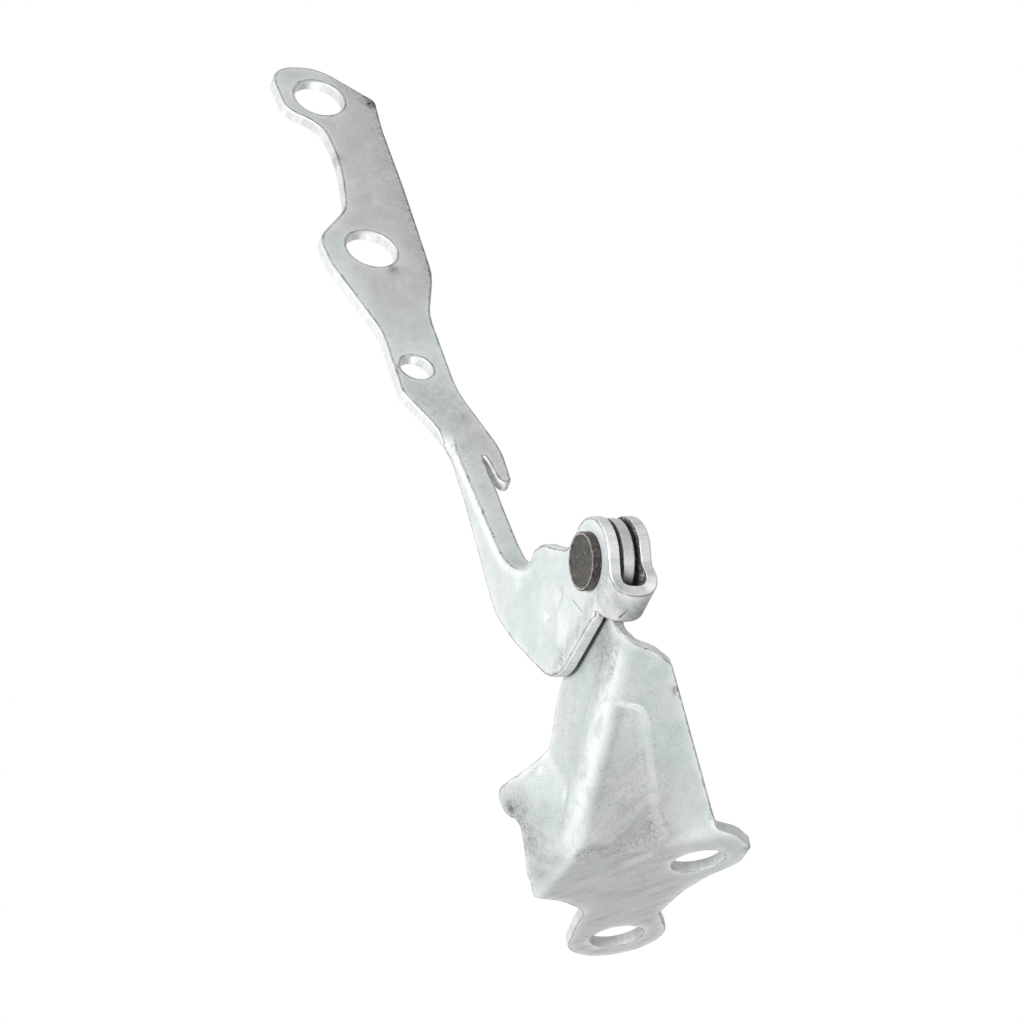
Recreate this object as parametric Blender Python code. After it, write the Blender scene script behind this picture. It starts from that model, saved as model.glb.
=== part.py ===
"""Bonnet hinge: a pressed steel bonnet arm riveted to a pressed steel body bracket.

Units are metres, +Z up. The foot of the bracket lies in the XY plane with its underside at Z = 0, and the
origin is midway between the two bolt holes of the foot. The hinge pin runs along X, and the model is in the
fully open pose. Each pressing is drawn as a flat blank, folded by a function, and given its thickness.
"""
import math

import bmesh
import bpy
import numpy as np
from mathutils import Vector
from mathutils.geometry import delaunay_2d_cdt

# Sheet and fits
SHEET = 0.0030              # thickness of both pressings
SIDE_GAP = 0.0014           # between the tongue and each leg of the clevis
FIT = 0.0003                # clearance where two pieces meet

# Pivot
PIVOT_FORE = 0.0837         # pin axis in front of the middle of the foot
PIVOT_SIDE = 0.0365         # middle of the tongue, left of the foot's bolt line
PIVOT_HEIGHT = 0.0544       # pin axis above the foot's underside
SHANK_RADIUS = 0.0040
HEAD_RADIUS = 0.0073
HEAD_THICKNESS = 0.0022
HEAD_CHAMFER = 0.0006
TAIL_RADIUS = 0.0062
TAIL_THICKNESS = 0.0019
BUSH_WALL = 0.0009
BUSH_FLANGE_RADIUS = 0.0075
LEG_RADIUS = 0.0110         # rounded end of each clevis leg
TONGUE_RADIUS = 0.0105      # rounded end of the bracket's tongue

# Clevis strap, folded under the pivot about a line that falls towards the back
STRAP_SLANT = math.radians(13.0)
STRAP_DROP = 0.0147         # pin axis to the outside of the strap's bottom
STRAP_FRONT = 0.0052        # front edge of the strap's bottom, ahead of the pin
STRAP_BACK = 0.0056         # back edge of the strap, behind the pin
STRAP_WAIST = (0.0060, 0.0110)      # corners of the far leg's back edge, above the far pin centre's level
STRAP_CORNER = 0.0028       # corners of the strap's front edge, to each side of its middle
STRAP_SWELL = 0.0018        # how far the strap's loop swells past the far leg
SWELL_RISE = (0.22, 0.68)   # shares of the loop's half circle over which it swells out
SWELL_FALL = (0.75, 1.18)   # and over which it comes back, the last one past its end
RELIEF = 0.0012             # slit between the strap and the web's lower edge
WEB_LOWER = 0.0119          # pin axis to the web's lower edge, across the slant
STOP_GAP = 0.0006           # between the strap's back edge and the tongue's neck, fully open

# Bonnet arm
FLANGE_TILT = math.radians(20.5)    # bonnet flange and strip, leaning back from the vertical
FLANGE_BACK = 0.0712        # start of the flange on the corner between web and strip, behind the pin
FLANGE_HEIGHT = 0.0811      # and above it
WEB_BEND = 0.0016           # middle radius of the bend between web and strip
TWIST_TOP = -0.0140         # where the web starts to fold back out of the flange, up from the flange's start
TWIST_BASE = -0.0240        # where it stands square to the strip
LIP_START = -0.0570         # where the corner leaves its straight line and curves towards the pin
LIP_RADIUS = 0.0215         # of that curve, at the middle of the sheet
LIP_TURNS = (math.radians(20.0), math.radians(88.0))    # turn over which the strip's lip flattens out
BONNET_HOLE = 0.0067        # radius of the two bonnet bolt holes
LOCATING_HOLE = 0.0042      # radius of the small locating hole
UPPER_HOLE = (-0.0012, 0.1132)      # across the pin axis, and up the flange from the kink
MIDDLE_HOLE = (-0.0047, 0.0537)
LOWER_HOLE = (-0.0063, 0.0085)

# Body bracket
RIDGE_START = (0.0030, 0.0205)      # start of the ridge: behind and below the pin
RAMP_FALL = 0.665           # fall of the ramp per length towards the back
RAMP_CAMBER = 0.225         # fall of the ramp per length away from the side wall
FOOT_BLEND = 0.0050         # softness of the bend between ramp and foot
RIDGE_RADIUS = 0.0055       # outside radius of the bend between side wall and ramp
FOOT_HOLE = 0.0067          # radius of the two foot bolt holes
FRONT_HOLE = (0.0378, 0.0599)       # right of and behind the pin's middle
REAR_HOLE = (0.0353, 0.1075)
REAR_EYE = 0.0127           # radius of the foot's end round its rear hole
FLARE_SLOPE = 0.42          # how far the stop ear leans out per length past its crease
FLARE_BACK = 0.0460         # crease of the stop ear, behind the pin
FLARE_DROP = 0.0470         # foot of the stop ear's crease, below the pin
FLARE_SOFT = 0.0030
POCKET_DEPTH = 0.0010       # pressed pocket beside the ridge
POCKET_FRONT = 0.0170       # front edge of the pocket, behind the pin
POCKET_BACK = 0.0500
POCKET_WIDTH = 0.0090       # pocket's right edge at its front end
POCKET_SPREAD = 0.43        # widening of the pocket per length
POCKET_SOFT = 0.0028

# Corners of the arm's outline: two places and the corner's radius. Flange and strip corners are measured
# across from the pin and up from the flange's start or a hole, web corners back and up from the pin, and
# lip corners by the turn along the lip in degrees and the width from its corner.
WEB_BACK = [(0.0322, -0.0186, 0.015), (0.0500, 0.0015, 0.030), (0.0575, 0.0130, 0.03), (0.0586, 0.0225, 0.05),
            (0.0615, 0.0436, 0.06)]
NOTCH = [(-0.0060, -0.0225, 0.020), (-0.0076, -0.0155, 0.030), (-0.0090, -0.0110, 0.020),
         (-0.0112, -0.0058, 0.010), (-0.0133, -0.0005, 0.0015)]
MIDDLE_LEFT = [(-0.0072, -0.0317, 0.020), (-0.0134, -0.0060, 0.012), (-0.0138, 0.0042, 0.009),
               (-0.0024, 0.0158, 0.012)]
UPPER_END = [(-0.0020, -0.0247, 0.06), (-0.0028, -0.0105, 0.012), (-0.0112, -0.0050, 0.007),
             (-0.0112, 0.0124, 0.011), (0.0030, 0.0124, 0.012), (0.0158, -0.0009, 0.0025),
             (0.0144, -0.0120, 0.05)]
MIDDLE_RIGHT = [(0.0168, 0.0243, 0.15), (0.0143, -0.0097, 0.025), (0.0085, -0.0252, 0.020)]
HOOK = [(0.0024, 0.0, 0.030), (0.0070, -0.0195, 0.010), (0.0074, -0.0240, 0.010), (0.0070, -0.0295, 0.010),
        (0.0066, -0.0335, 0.0018), (0.0048, -0.0348, 0.0014), (0.0030, -0.0333, 0.003),
        (0.0026, -0.0272, 0.004), (0.0020, -0.0247, 0.0003)]
STRIP_SIDE = [(0.0015, -0.0247, 0.0003), (0.0015, -0.0359, 0.1), (0.0012, -0.0443, 0.1)]
LIP = [(0.0, 0.0054, 0.0), (15.0, 0.0053, 0.0), (30.0, 0.0053, 0.0), (45.0, 0.0051, 0.0), (60.0, 0.0046, 0.0),
       (75.0, 0.0032, 0.0)]
WEB_FRONT = [(0.0239, 0.0161, 0.010), (0.0207, 0.0146, 0.010), (0.0110, 0.0084, 0.006)]

# Corners of the bracket's outline. Tab and foot corners are measured right of and behind the pin or hole, and
# ear corners behind and above the pin.
RAMP_FRONT = [(0.0005, 0.0020, 0.004), (0.0085, 0.0030, 0.008), (0.0132, 0.0052, 0.003)]
FRONT_TAB = [(-0.0022, -0.0179, 0.003), (0.0042, -0.0158, 0.010), (0.0110, -0.0085, 0.003),
             (0.0122, 0.0015, 0.008), (0.0070, 0.0095, 0.012)]
REAR_TAB_RIGHT = [(0.0064, -0.0285, 0.02), (0.0057, -0.0150, 0.005)]
REAR_TAB_LEFT = [(-0.0146, -0.0070, 0.006), (-0.0158, -0.0170, 0.010), (-0.0260, -0.0245, 0.020)]
HEEL = [(0.0010, 0.0814, 0.0005)]
EAR = [(0.0770, -0.0530, 0.001), (0.0755, -0.0480, 0.004), (0.0680, -0.0388, 0.003), (0.0722, -0.0360, 0.003),
       (0.0705, -0.0300, 0.004), (0.0560, -0.0297, 0.02), (0.0478, -0.0278, 0.006), (0.0423, -0.0190, 0.012),
       (0.0330, -0.0135, 0.02)]
THROAT_RADIUS = 0.0012
THROAT_GAP = 0.0016         # between the strap's inside and the neck's corner above it

# Mesh fineness
ARC_STEP = math.radians(22.5)
HOLE_SIDES = 24
ROUND_SIDES = 40
FIELD_STEP = 0.0060
EDGE_TOLERANCE = 0.00008    # how far an edge may stray from the folded surface
OFFSET_PROBE = 0.00002      # step used to read a folded surface's normal

WALL = SHEET / 2            # half the sheet, from its middle to a face
LEG = WALL + SIDE_GAP + WALL        # middle of the tongue to the middle of a leg
STRAP_START = STRAP_DROP - WALL - LEG   # where the legs end and the strap's round starts
STRAP_TURN = math.pi * LEG          # length of the strap's half circle
MIRROR_LINE = STRAP_START + STRAP_TURN / 2     # middle of the strap's half circle
FOOT = -PIVOT_HEIGHT        # foot's underside, from the pin axis
PIVOT = Vector((-PIVOT_SIDE, -PIVOT_FORE, PIVOT_HEIGHT))
RISE = np.array((math.sin(FLANGE_TILT), math.cos(FLANGE_TILT)))     # up the flange, as (y, z)
AHEAD = np.array((-math.cos(FLANGE_TILT), math.sin(FLANGE_TILT)))   # square to it, towards the front
FLANGE_START = np.array((FLANGE_BACK, FLANGE_HEIGHT))
LIP_CENTRE = FLANGE_START + LIP_START * RISE + LIP_RADIUS * AHEAD


def clear_scene():
    for item in list(bpy.data.objects):
        bpy.data.objects.remove(item, do_unlink=True)


def material(name, colour, roughness, metallic):
    mat = bpy.data.materials.new(name)
    mat.use_nodes = True
    shader = mat.node_tree.nodes["Principled BSDF"]
    shader.inputs["Base Color"].default_value = (*colour, 1.0)
    shader.inputs["Roughness"].default_value = roughness
    shader.inputs["Metallic"].default_value = metallic
    return mat


def add_object(name, bm, mat, sharp=35.0):
    mesh = bpy.data.meshes.new(name)
    bm.normal_update()
    bm.to_mesh(mesh)
    bm.free()
    mesh.shade_smooth()
    mesh.set_sharp_from_angle(angle=math.radians(sharp))
    mesh.materials.append(mat)
    obj = bpy.data.objects.new(name, mesh)
    bpy.context.scene.collection.objects.link(obj)
    return obj


# Outlines

def rounded(corners):
    """Points of a closed outline whose corners (x, y, radius) are turned into arcs."""
    points = []
    count = len(corners)
    for i, (x, y, radius) in enumerate(corners):
        here = np.array((x, y))
        before = np.array(corners[i - 1][:2]) - here
        after = np.array(corners[(i + 1) % count][:2]) - here
        to_before, to_after = before / np.linalg.norm(before), after / np.linalg.norm(after)
        turn = math.pi - math.acos(float(np.clip(to_before @ to_after, -1.0, 1.0)))
        if radius <= 0.0 or turn < 0.02:
            points.append(here)
            continue
        room = 0.49 * min(np.linalg.norm(before), np.linalg.norm(after))
        reach = min(radius * math.tan(turn / 2), room)
        true_radius = reach / math.tan(turn / 2)
        middle = to_before + to_after
        centre = here + middle / np.linalg.norm(middle) * math.hypot(reach, true_radius)
        start, end = here + to_before * reach - centre, here + to_after * reach - centre
        first = math.atan2(start[1], start[0])
        sweep = (math.atan2(end[1], end[0]) - first + math.pi) % (2 * math.pi) - math.pi
        steps = max(1, math.ceil(abs(sweep) / ARC_STEP))
        for k in range(steps + 1):
            angle = first + sweep * k / steps
            points.append(centre + true_radius * np.array((math.cos(angle), math.sin(angle))))
    return points


def arc(centre, radius, first, last):
    """Corner entries along an arc, with angles in degrees."""
    steps = max(2, math.ceil(math.radians(abs(last - first)) / ARC_STEP))
    angles = [math.radians(first + (last - first) * k / steps) for k in range(steps + 1)]
    return [(centre[0] + radius * math.cos(a), centre[1] + radius * math.sin(a), 0.0) for a in angles]


def circle(centre, radius, sides=HOLE_SIDES):
    turns = [2 * math.pi * k / sides for k in range(sides)]
    return [np.array((centre[0] + radius * math.cos(t), centre[1] + radius * math.sin(t))) for t in turns]


def mapped(place, corners, origin=(0.0, 0.0)):
    """Corner entries measured from an origin, as blank points by one of the on_ functions."""
    return [place(x + origin[0], y + origin[1], radius) for x, y, radius in corners]


def inside(points, loop):
    """True for each point that lies inside the closed loop."""
    x, y = points[:, 0], points[:, 1]
    result = np.zeros(len(points), bool)
    for (x0, y0), (x1, y1) in zip(loop, np.roll(loop, -1, axis=0)):
        if y0 != y1:
            crosses = (y0 > y) != (y1 > y)
            result ^= crosses & (x < (x1 - x0) * (y - y0) / (y1 - y0) + x0)
    return result


def clearance(points, loop):
    """Distance of each point from the nearest edge of the loop."""
    best = np.full(len(points), 1e9)
    for start, end in zip(loop, np.roll(loop, -1, axis=0)):
        edge = end - start
        along = np.clip(((points - start) @ edge) / max(edge @ edge, 1e-18), 0.0, 1.0)
        best = np.minimum(best, np.linalg.norm(points - start - along[:, None] * edge, axis=1))
    return best


# Folding

def fold(length, radius, angle):
    """A flat length folded about its zero point: how far it runs on, and how far it turns aside."""
    tangent = radius * np.tan(angle / 2)
    share = np.clip((length + tangent) / np.maximum(2 * tangent, 1e-9), 0.0, 1.0)   # of the bend passed
    before = np.minimum(length + tangent, 0.0)
    after = np.maximum(length - tangent, 0.0)
    along = -tangent + before + radius * np.sin(share * angle) + after * np.cos(angle)
    aside = radius * (1 - np.cos(share * angle)) + after * np.sin(angle)
    return along, aside


def smooth_step(value):
    value = np.clip(value, 0.0, 1.0)
    return value * value * (3 - 2 * value)


def follow(loop, place):
    """Splits the edges of a blank's outline until each one keeps close to the folded surface."""
    loop = np.array(loop)
    while True:
        following = np.roll(loop, -1, axis=0)
        start, end = place(loop), place(following)
        off = np.zeros(len(loop))
        for share in (0.25, 0.5, 0.75):
            on_sheet = place(loop + share * (following - loop))
            off = np.maximum(off, np.linalg.norm(on_sheet - start - share * (end - start), axis=1))
        split = off > EDGE_TOLERANCE
        if not split.any():
            return loop
        middles = (loop + following) / 2
        loop = np.insert(loop, np.flatnonzero(split) + 1, middles[split], axis=0)


def sheet_solid(name, outer, holes, field, place, faces, mat):
    """A folded sheet: the blank's outline and holes, filled, placed in space and given its thickness.

    place gives the folded surface for blank points, and faces gives the two offsets of the sheet's faces
    from it, along the surface's normal.
    """
    loops = [follow(loop, place) for loop in [outer] + holes]
    keep = inside(field, loops[0]) & (clearance(field, loops[0]) > FIELD_STEP * 0.22)
    for hole in loops[1:]:
        keep &= ~inside(field, hole) & (clearance(field, hole) > FIELD_STEP * 0.22)
    flat = np.concatenate(loops + [field[keep]])
    edges, start = [], 0
    for loop in loops:
        count = len(loop)
        edges += [(start + k, start + (k + 1) % count) for k in range(count)]
        start += count
    coords, _, faces_found, _, _, _ = delaunay_2d_cdt([Vector(p) for p in flat], edges, [], 0, 1e-7)
    flat = np.array([tuple(p) for p in coords])
    tri = np.array(faces_found)
    middle = flat[tri].mean(axis=1)
    solid = inside(middle, loops[0])
    for hole in loops[1:]:
        solid &= ~inside(middle, hole)
    tri = tri[solid]

    centre = place(flat)
    step_u = place(flat + (OFFSET_PROBE, 0.0)) - place(flat - (OFFSET_PROBE, 0.0))
    step_v = place(flat + (0.0, OFFSET_PROBE)) - place(flat - (0.0, OFFSET_PROBE))
    normal = np.cross(step_u, step_v)
    normal /= np.linalg.norm(normal, axis=1)[:, None]

    bm = bmesh.new()
    sides = [[bm.verts.new(PIVOT + Vector(p)) for p in centre + normal * offset] for offset in faces]
    low, high = sides if faces[0] < faces[1] else sides[::-1]
    rim = {}
    for a, b, c in tri:
        bm.faces.new((high[a], high[b], high[c]))
        bm.faces.new((low[c], low[b], low[a]))
        for edge in ((a, b), (b, c), (c, a)):
            rim[edge] = rim.get(edge, 0) + 1
    for a, b in rim:
        if (b, a) not in rim:
            bm.faces.new((high[b], high[a], low[a], low[b]))
    for vert in [v for v in bm.verts if not v.link_faces]:
        bm.verts.remove(vert)
    bmesh.ops.dissolve_limit(bm, angle_limit=math.radians(0.05), verts=bm.verts, edges=bm.edges)
    bmesh.ops.triangulate(bm, faces=bm.faces)
    return add_object(name, bm, mat)


def grid(first, second):
    u, v = np.meshgrid(np.array(first), np.array(second), indexing="ij")
    return np.stack([u.ravel(), v.ravel()], axis=1)


# Bonnet arm. Blank points are (y, z) of the web; strip and flange lie in front of its corner.

def on_flange(x, up, radius=0.0):
    y, z = FLANGE_START + up * RISE + (x + LEG) * AHEAD
    return (y, z, radius)


def on_lip(turn, width, radius=0.0):
    """A point by its turn along the lip, in degrees, and its distance from the lip's corner."""
    angle = math.radians(turn)
    y, z = LIP_CENTRE - (LIP_RADIUS - width) * (math.cos(angle) * AHEAD + math.sin(angle) * RISE)
    return (y, z, radius)


def on_strap(ahead, down, radius=0.0):
    """A point by its place along and across the slanted fold of the strap."""
    y = ahead * math.cos(STRAP_SLANT) - down * math.sin(STRAP_SLANT)
    z = -ahead * math.sin(STRAP_SLANT) - down * math.cos(STRAP_SLANT)
    return (y, z, radius)


def place_arm(blank):
    u, v = blank[:, 0], blank[:, 1]
    from_start = blank - FLANGE_START
    up, width = from_start @ RISE, from_start @ AHEAD
    angle = math.pi / 2 * smooth_step((TWIST_TOP - up) / (TWIST_TOP - TWIST_BASE))
    along, aside = fold(-width, WEB_BEND, angle)
    straight_x = -LEG - along
    straight = FLANGE_START + up[:, None] * RISE - aside[:, None] * AHEAD

    from_centre = blank - LIP_CENTRE
    reach = np.maximum(np.linalg.norm(from_centre, axis=1), WALL)
    outward = from_centre / reach[:, None]
    turn = np.arctan2(-outward @ RISE, -outward @ AHEAD)
    angle = math.pi / 2 * smooth_step((LIP_TURNS[1] - turn) / (LIP_TURNS[1] - LIP_TURNS[0]))
    along, aside = fold(LIP_RADIUS - reach, WEB_BEND, angle)
    lip_x = aside - LEG
    lip = LIP_CENTRE + (LIP_RADIUS - along)[:, None] * outward

    lower = up < LIP_START
    x = np.where(lower, lip_x, straight_x)
    y_z = np.where(lower[:, None], lip, straight)

    ahead = u * math.cos(STRAP_SLANT) - v * math.sin(STRAP_SLANT)
    down = -u * math.sin(STRAP_SLANT) - v * math.cos(STRAP_SLANT)
    joined = smooth_step((STRAP_BACK + 3 * RELIEF - ahead) / (3 * RELIEF))
    strap = np.where(down > MIRROR_LINE, 1.0, joined) * (down > STRAP_START)
    turn = np.clip((down - STRAP_START) / LEG, 0.0, math.pi)
    rise = np.maximum(down - STRAP_START - STRAP_TURN, 0.0)
    folded_down = STRAP_START + LEG * np.sin(turn) - rise
    past = (down - STRAP_START) / STRAP_TURN
    swell = (STRAP_SWELL * smooth_step((past - SWELL_RISE[0]) / (SWELL_RISE[1] - SWELL_RISE[0]))
             * smooth_step((SWELL_FALL[1] - past) / (SWELL_FALL[1] - SWELL_FALL[0])))
    strap_y = ahead * math.cos(STRAP_SLANT) - folded_down * math.sin(STRAP_SLANT)
    strap_z = -ahead * math.sin(STRAP_SLANT) - folded_down * math.cos(STRAP_SLANT)
    flat = np.column_stack([x, y_z])
    folded = np.stack([swell - LEG * np.cos(turn), strap_y, strap_z], axis=1)
    return flat + strap[:, None] * (folded - flat)


def arm_outline():
    far = 2 * MIRROR_LINE
    web_back = [on_strap(STRAP_BACK + RELIEF, WEB_LOWER, RELIEF / 3)] + WEB_BACK
    flange = (mapped(on_flange, NOTCH) + mapped(on_flange, MIDDLE_LEFT, MIDDLE_HOLE)
              + mapped(on_flange, UPPER_END, UPPER_HOLE) + mapped(on_flange, MIDDLE_RIGHT, MIDDLE_HOLE)
              + mapped(on_flange, HOOK) + mapped(on_flange, STRIP_SIDE))
    leg_end = arc((0.0, 0.0), LEG_RADIUS, 62.0, 190.0)
    strap_front = [on_strap(-STRAP_FRONT, MIRROR_LINE - STRAP_CORNER, STRAP_FRONT),
                   on_strap(-STRAP_FRONT, MIRROR_LINE + STRAP_CORNER, STRAP_FRONT)]
    far_leg = [on_strap(-LEG_RADIUS * math.cos(a), far + LEG_RADIUS * math.sin(a))
               for a in np.linspace(math.radians(-10.0), math.radians(190.0), 12)]
    strap_back = [on_strap(LEG_RADIUS * 0.97, far - STRAP_WAIST[0], 0.7 * STRAP_BACK),
                  on_strap(STRAP_BACK, far - STRAP_WAIST[1], 0.7 * STRAP_BACK),
                  on_strap(STRAP_BACK, WEB_LOWER - RELIEF, RELIEF / 4)]
    return (web_back + flange + mapped(on_lip, LIP) + WEB_FRONT + leg_end + strap_front + far_leg
            + strap_back)


def arm_field():
    """Blank points inside the arm, close together only where it is folded."""
    rows = WEB_BEND * np.array([-1.0, -0.6, -0.2, 0.2, 0.6, 1.0])
    bend = [on_flange(width - LEG, up) for width in rows
            for up in np.arange(LIP_START + FIELD_STEP / 2, TWIST_TOP, FIELD_STEP * 0.75)]
    lip = [on_lip(turn, width) for width in rows for turn in np.arange(4.0, 92.0, 11.0)]
    side = [on_flange(-LEG - FIELD_STEP * 0.7, up)
            for up in np.arange(TWIST_BASE, TWIST_TOP + FIELD_STEP / 2, FIELD_STEP * 0.5)]
    strap = [on_strap(STRAP_BACK * share, STRAP_START + STRAP_TURN * k / 10) for k in range(14)
             for share in (-0.45, 0.18, 0.70)]
    return np.array([p[:2] for p in bend + lip + side + strap])


def build_arm(zinc):
    far = 2 * MIRROR_LINE
    bore = SHANK_RADIUS + FIT
    holes = [circle(on_flange(*UPPER_HOLE), BONNET_HOLE), circle(on_flange(*MIDDLE_HOLE), BONNET_HOLE),
             circle(on_flange(*LOWER_HOLE), LOCATING_HOLE), circle((0.0, 0.0), bore),
             circle(on_strap(0.0, far), bore)]
    return sheet_solid("bonnet_arm", rounded(arm_outline()), holes, arm_field(), place_arm,
                       (-WALL, WALL), zinc)


# Body bracket. Blank points are (w, y): w runs down the side wall to the ridge, then out along the ramp.

def underside(x, y):
    """Height of the ramp and foot's lower face, with the pressed pocket."""
    ramp = -RIDGE_START[1] - RAMP_FALL * (y - RIDGE_START[0]) - RAMP_CAMBER * (x + WALL)
    share = np.clip(0.5 + 0.5 * (ramp - FOOT) / FOOT_BLEND, 0.0, 1.0)
    height = FOOT * (1 - share) + ramp * share + FOOT_BLEND * share * (1 - share)
    edge = POCKET_WIDTH + POCKET_SPREAD * (y - POCKET_FRONT)
    pocket = (smooth_step((edge - x) / POCKET_SOFT + 0.5)
              * smooth_step((y - POCKET_FRONT) / POCKET_SOFT + 0.5)
              * smooth_step((POCKET_BACK - y) / (4 * POCKET_SOFT))
              * smooth_step(x / (2 * POCKET_SOFT)))
    return height + POCKET_DEPTH * pocket


def ridge(y):
    return underside(np.full_like(y, -WALL), y)


def flare(y, z):
    """How far the stop ear leans out of the side wall's plane."""
    past, above = y - FLARE_BACK, z + FLARE_DROP
    nearer = 0.5 * (past + above - np.sqrt((past - above)**2 + FLARE_SOFT**2))
    return FLARE_SLOPE * 0.5 * (nearer + np.sqrt(nearer**2 + FLARE_SOFT**2))


def place_bracket(blank):
    w, y = blank[:, 0], blank[:, 1]
    radius = RIDGE_RADIUS
    angle = np.clip((w + radius) / (2 * radius), 0.0, 1.0) * math.pi / 2
    x = -WALL + radius * (1 - np.cos(angle)) + np.maximum(w - radius, 0.0)
    lift = radius * (1 - np.sin(angle)) + np.maximum(-w - radius, 0.0)
    z = underside(np.maximum(x, -WALL), y) + lift
    x = x - flare(y, z)
    return np.stack([x, y, z], axis=1)


def on_wall(y, z, radius=0.0):
    return (float(ridge(np.array([y]))[0]) - z, y, radius)


def on_foot(x, y, radius=0.0):
    return (x + WALL, y, radius)


def bracket_outline():
    tongue = [on_wall(TONGUE_RADIUS * math.cos(a), TONGUE_RADIUS * math.sin(a))
              for a in np.linspace(math.radians(38.0), math.radians(240.0), 15)]
    neck = STRAP_BACK + STOP_GAP
    throat = [on_wall(*on_strap(neck, STRAP_DROP - SHEET - THROAT_GAP)[:2], THROAT_RADIUS / 2),
              on_wall(*on_strap(neck, STRAP_DROP + THROAT_RADIUS)[:2], THROAT_RADIUS)]
    foot = (mapped(on_foot, RAMP_FRONT) + mapped(on_foot, FRONT_TAB, FRONT_HOLE)
            + mapped(on_foot, REAR_TAB_RIGHT, REAR_HOLE)
            + mapped(on_foot, arc(REAR_HOLE, REAR_EYE, -38.0, 178.0))
            + mapped(on_foot, REAR_TAB_LEFT, REAR_HOLE) + mapped(on_foot, HEEL))
    return tongue + throat + foot + mapped(on_wall, EAR)


def bracket_field():
    """Blank points inside the bracket: along its ridge, and over the ramp and the stop ear."""
    turns = np.array([-1.0, -0.7, -0.35, 0.0, 0.35, 0.7, 1.0])
    bend = grid(RIDGE_RADIUS * turns, FIELD_STEP * np.arange(0.7, 13.2, 0.85))
    ramp = grid(FIELD_STEP * np.arange(1.6, 6.7, 0.67), FIELD_STEP * np.arange(1.3, 11.0, 0.7))
    pocket_edge = [(POCKET_WIDTH + POCKET_SPREAD * (y - POCKET_FRONT) + WALL + side * POCKET_SOFT / 2, y)
                   for y in np.arange(POCKET_FRONT, POCKET_BACK, FIELD_STEP * 0.85) for side in (-1, 1)]
    ear = grid(FIELD_STEP * np.arange(-3.8, -1.2, 0.7), FIELD_STEP * np.arange(7.2, 12.3, 0.75))
    points = np.concatenate([bend, ramp, np.array(pocket_edge), ear])
    apart = [i for i in range(len(points))
             if i == 0 or np.linalg.norm(points[:i] - points[i], axis=1).min() > FIELD_STEP / 5]
    return points[apart]


def build_bracket(zinc):
    bore = SHANK_RADIUS + FIT + BUSH_WALL + FIT
    y_z = circle((0.0, 0.0), bore)
    tongue_bore = [np.array(on_wall(y, z)[:2]) for y, z in y_z]
    holes = [tongue_bore, circle(on_foot(*FRONT_HOLE), FOOT_HOLE), circle(on_foot(*REAR_HOLE), FOOT_HOLE)]
    return sheet_solid("body_bracket", rounded(bracket_outline()), holes, bracket_field(), place_bracket,
                       (0.0, SHEET), zinc)


# Pivot

def turned(name, profile, mat):
    """A solid turned about the pin axis from a closed profile of (along, radius)."""
    bm = bmesh.new()
    rings = []
    for along, radius in profile:
        if radius == 0.0:
            rings.append([bm.verts.new((along, 0.0, 0.0))])
            continue
        turns = [2 * math.pi * k / ROUND_SIDES for k in range(ROUND_SIDES)]
        rings.append([bm.verts.new((along, radius * math.cos(t), radius * math.sin(t))) for t in turns])
    closed = profile[0][1] > 0.0
    pairs = list(zip(rings, rings[1:])) + ([(rings[-1], rings[0])] if closed else [])
    for first, second in pairs:
        for k in range(ROUND_SIDES):
            following = (k + 1) % ROUND_SIDES
            if len(first) == 1:
                bm.faces.new((first[0], second[following], second[k]))
            elif len(second) == 1:
                bm.faces.new((first[k], first[following], second[0]))
            else:
                bm.faces.new((first[k], first[following], second[following], second[k]))
    bmesh.ops.recalc_face_normals(bm, faces=bm.faces)
    obj = add_object(name, bm, mat)
    obj.location = PIVOT
    return obj


def build_rivet(steel):
    seat = LEG + WALL + FIT
    face = seat + HEAD_THICKNESS
    end = seat + TAIL_THICKNESS
    profile = [(-face, 0.0), (-face, HEAD_RADIUS - HEAD_CHAMFER), (-face + HEAD_CHAMFER, HEAD_RADIUS),
               (-seat, HEAD_RADIUS), (-seat, SHANK_RADIUS), (seat, SHANK_RADIUS), (seat, TAIL_RADIUS),
               (seat + TAIL_THICKNESS * 0.45, TAIL_RADIUS), (end, TAIL_RADIUS * 0.72), (end, 0.0)]
    return turned("pivot_rivet", profile, steel)


def build_bush(name, side, bronze):
    inner = SHANK_RADIUS + FIT
    outer = inner + BUSH_WALL
    seat = WALL + FIT
    rim = WALL + SIDE_GAP - FIT
    profile = [(side * FIT / 2, inner), (side * rim, inner), (side * rim, BUSH_FLANGE_RADIUS),
               (side * seat, BUSH_FLANGE_RADIUS), (side * seat, outer), (side * FIT / 2, outer)]
    return turned(name, profile, bronze)


def main():
    clear_scene()
    zinc = material("zinc_plate", (0.62, 0.65, 0.65), 0.42, 0.75)
    steel = material("rivet_steel", (0.17, 0.15, 0.14), 0.45, 0.85)
    bronze = material("bush_bronze", (0.20, 0.15, 0.11), 0.50, 0.70)
    axle = bpy.data.objects.new("pin_axis", None)
    axle.location = PIVOT
    bpy.context.scene.collection.objects.link(axle)
    arm = build_arm(zinc)
    rivet = build_rivet(steel)
    build_bracket(zinc)
    build_bush("bush_head_side", -1, bronze)
    build_bush("bush_tail_side", 1, bronze)
    bpy.context.view_layer.update()
    for piece in (arm, rivet):
        piece.parent = axle
        piece.matrix_parent_inverse = axle.matrix_world.inverted()


main()
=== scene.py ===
"""Looks of the bonnet hinge: pressed sheets with worn zinc plate, a dark rivet, bushes, camera and light.

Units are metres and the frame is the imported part's. Blank points are flat points of a pressing before it is
folded.
"""

import math

import bmesh
import bpy
import numpy as np
from mathutils import Matrix, Vector
from mathutils.geometry import delaunay_2d_cdt


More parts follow.
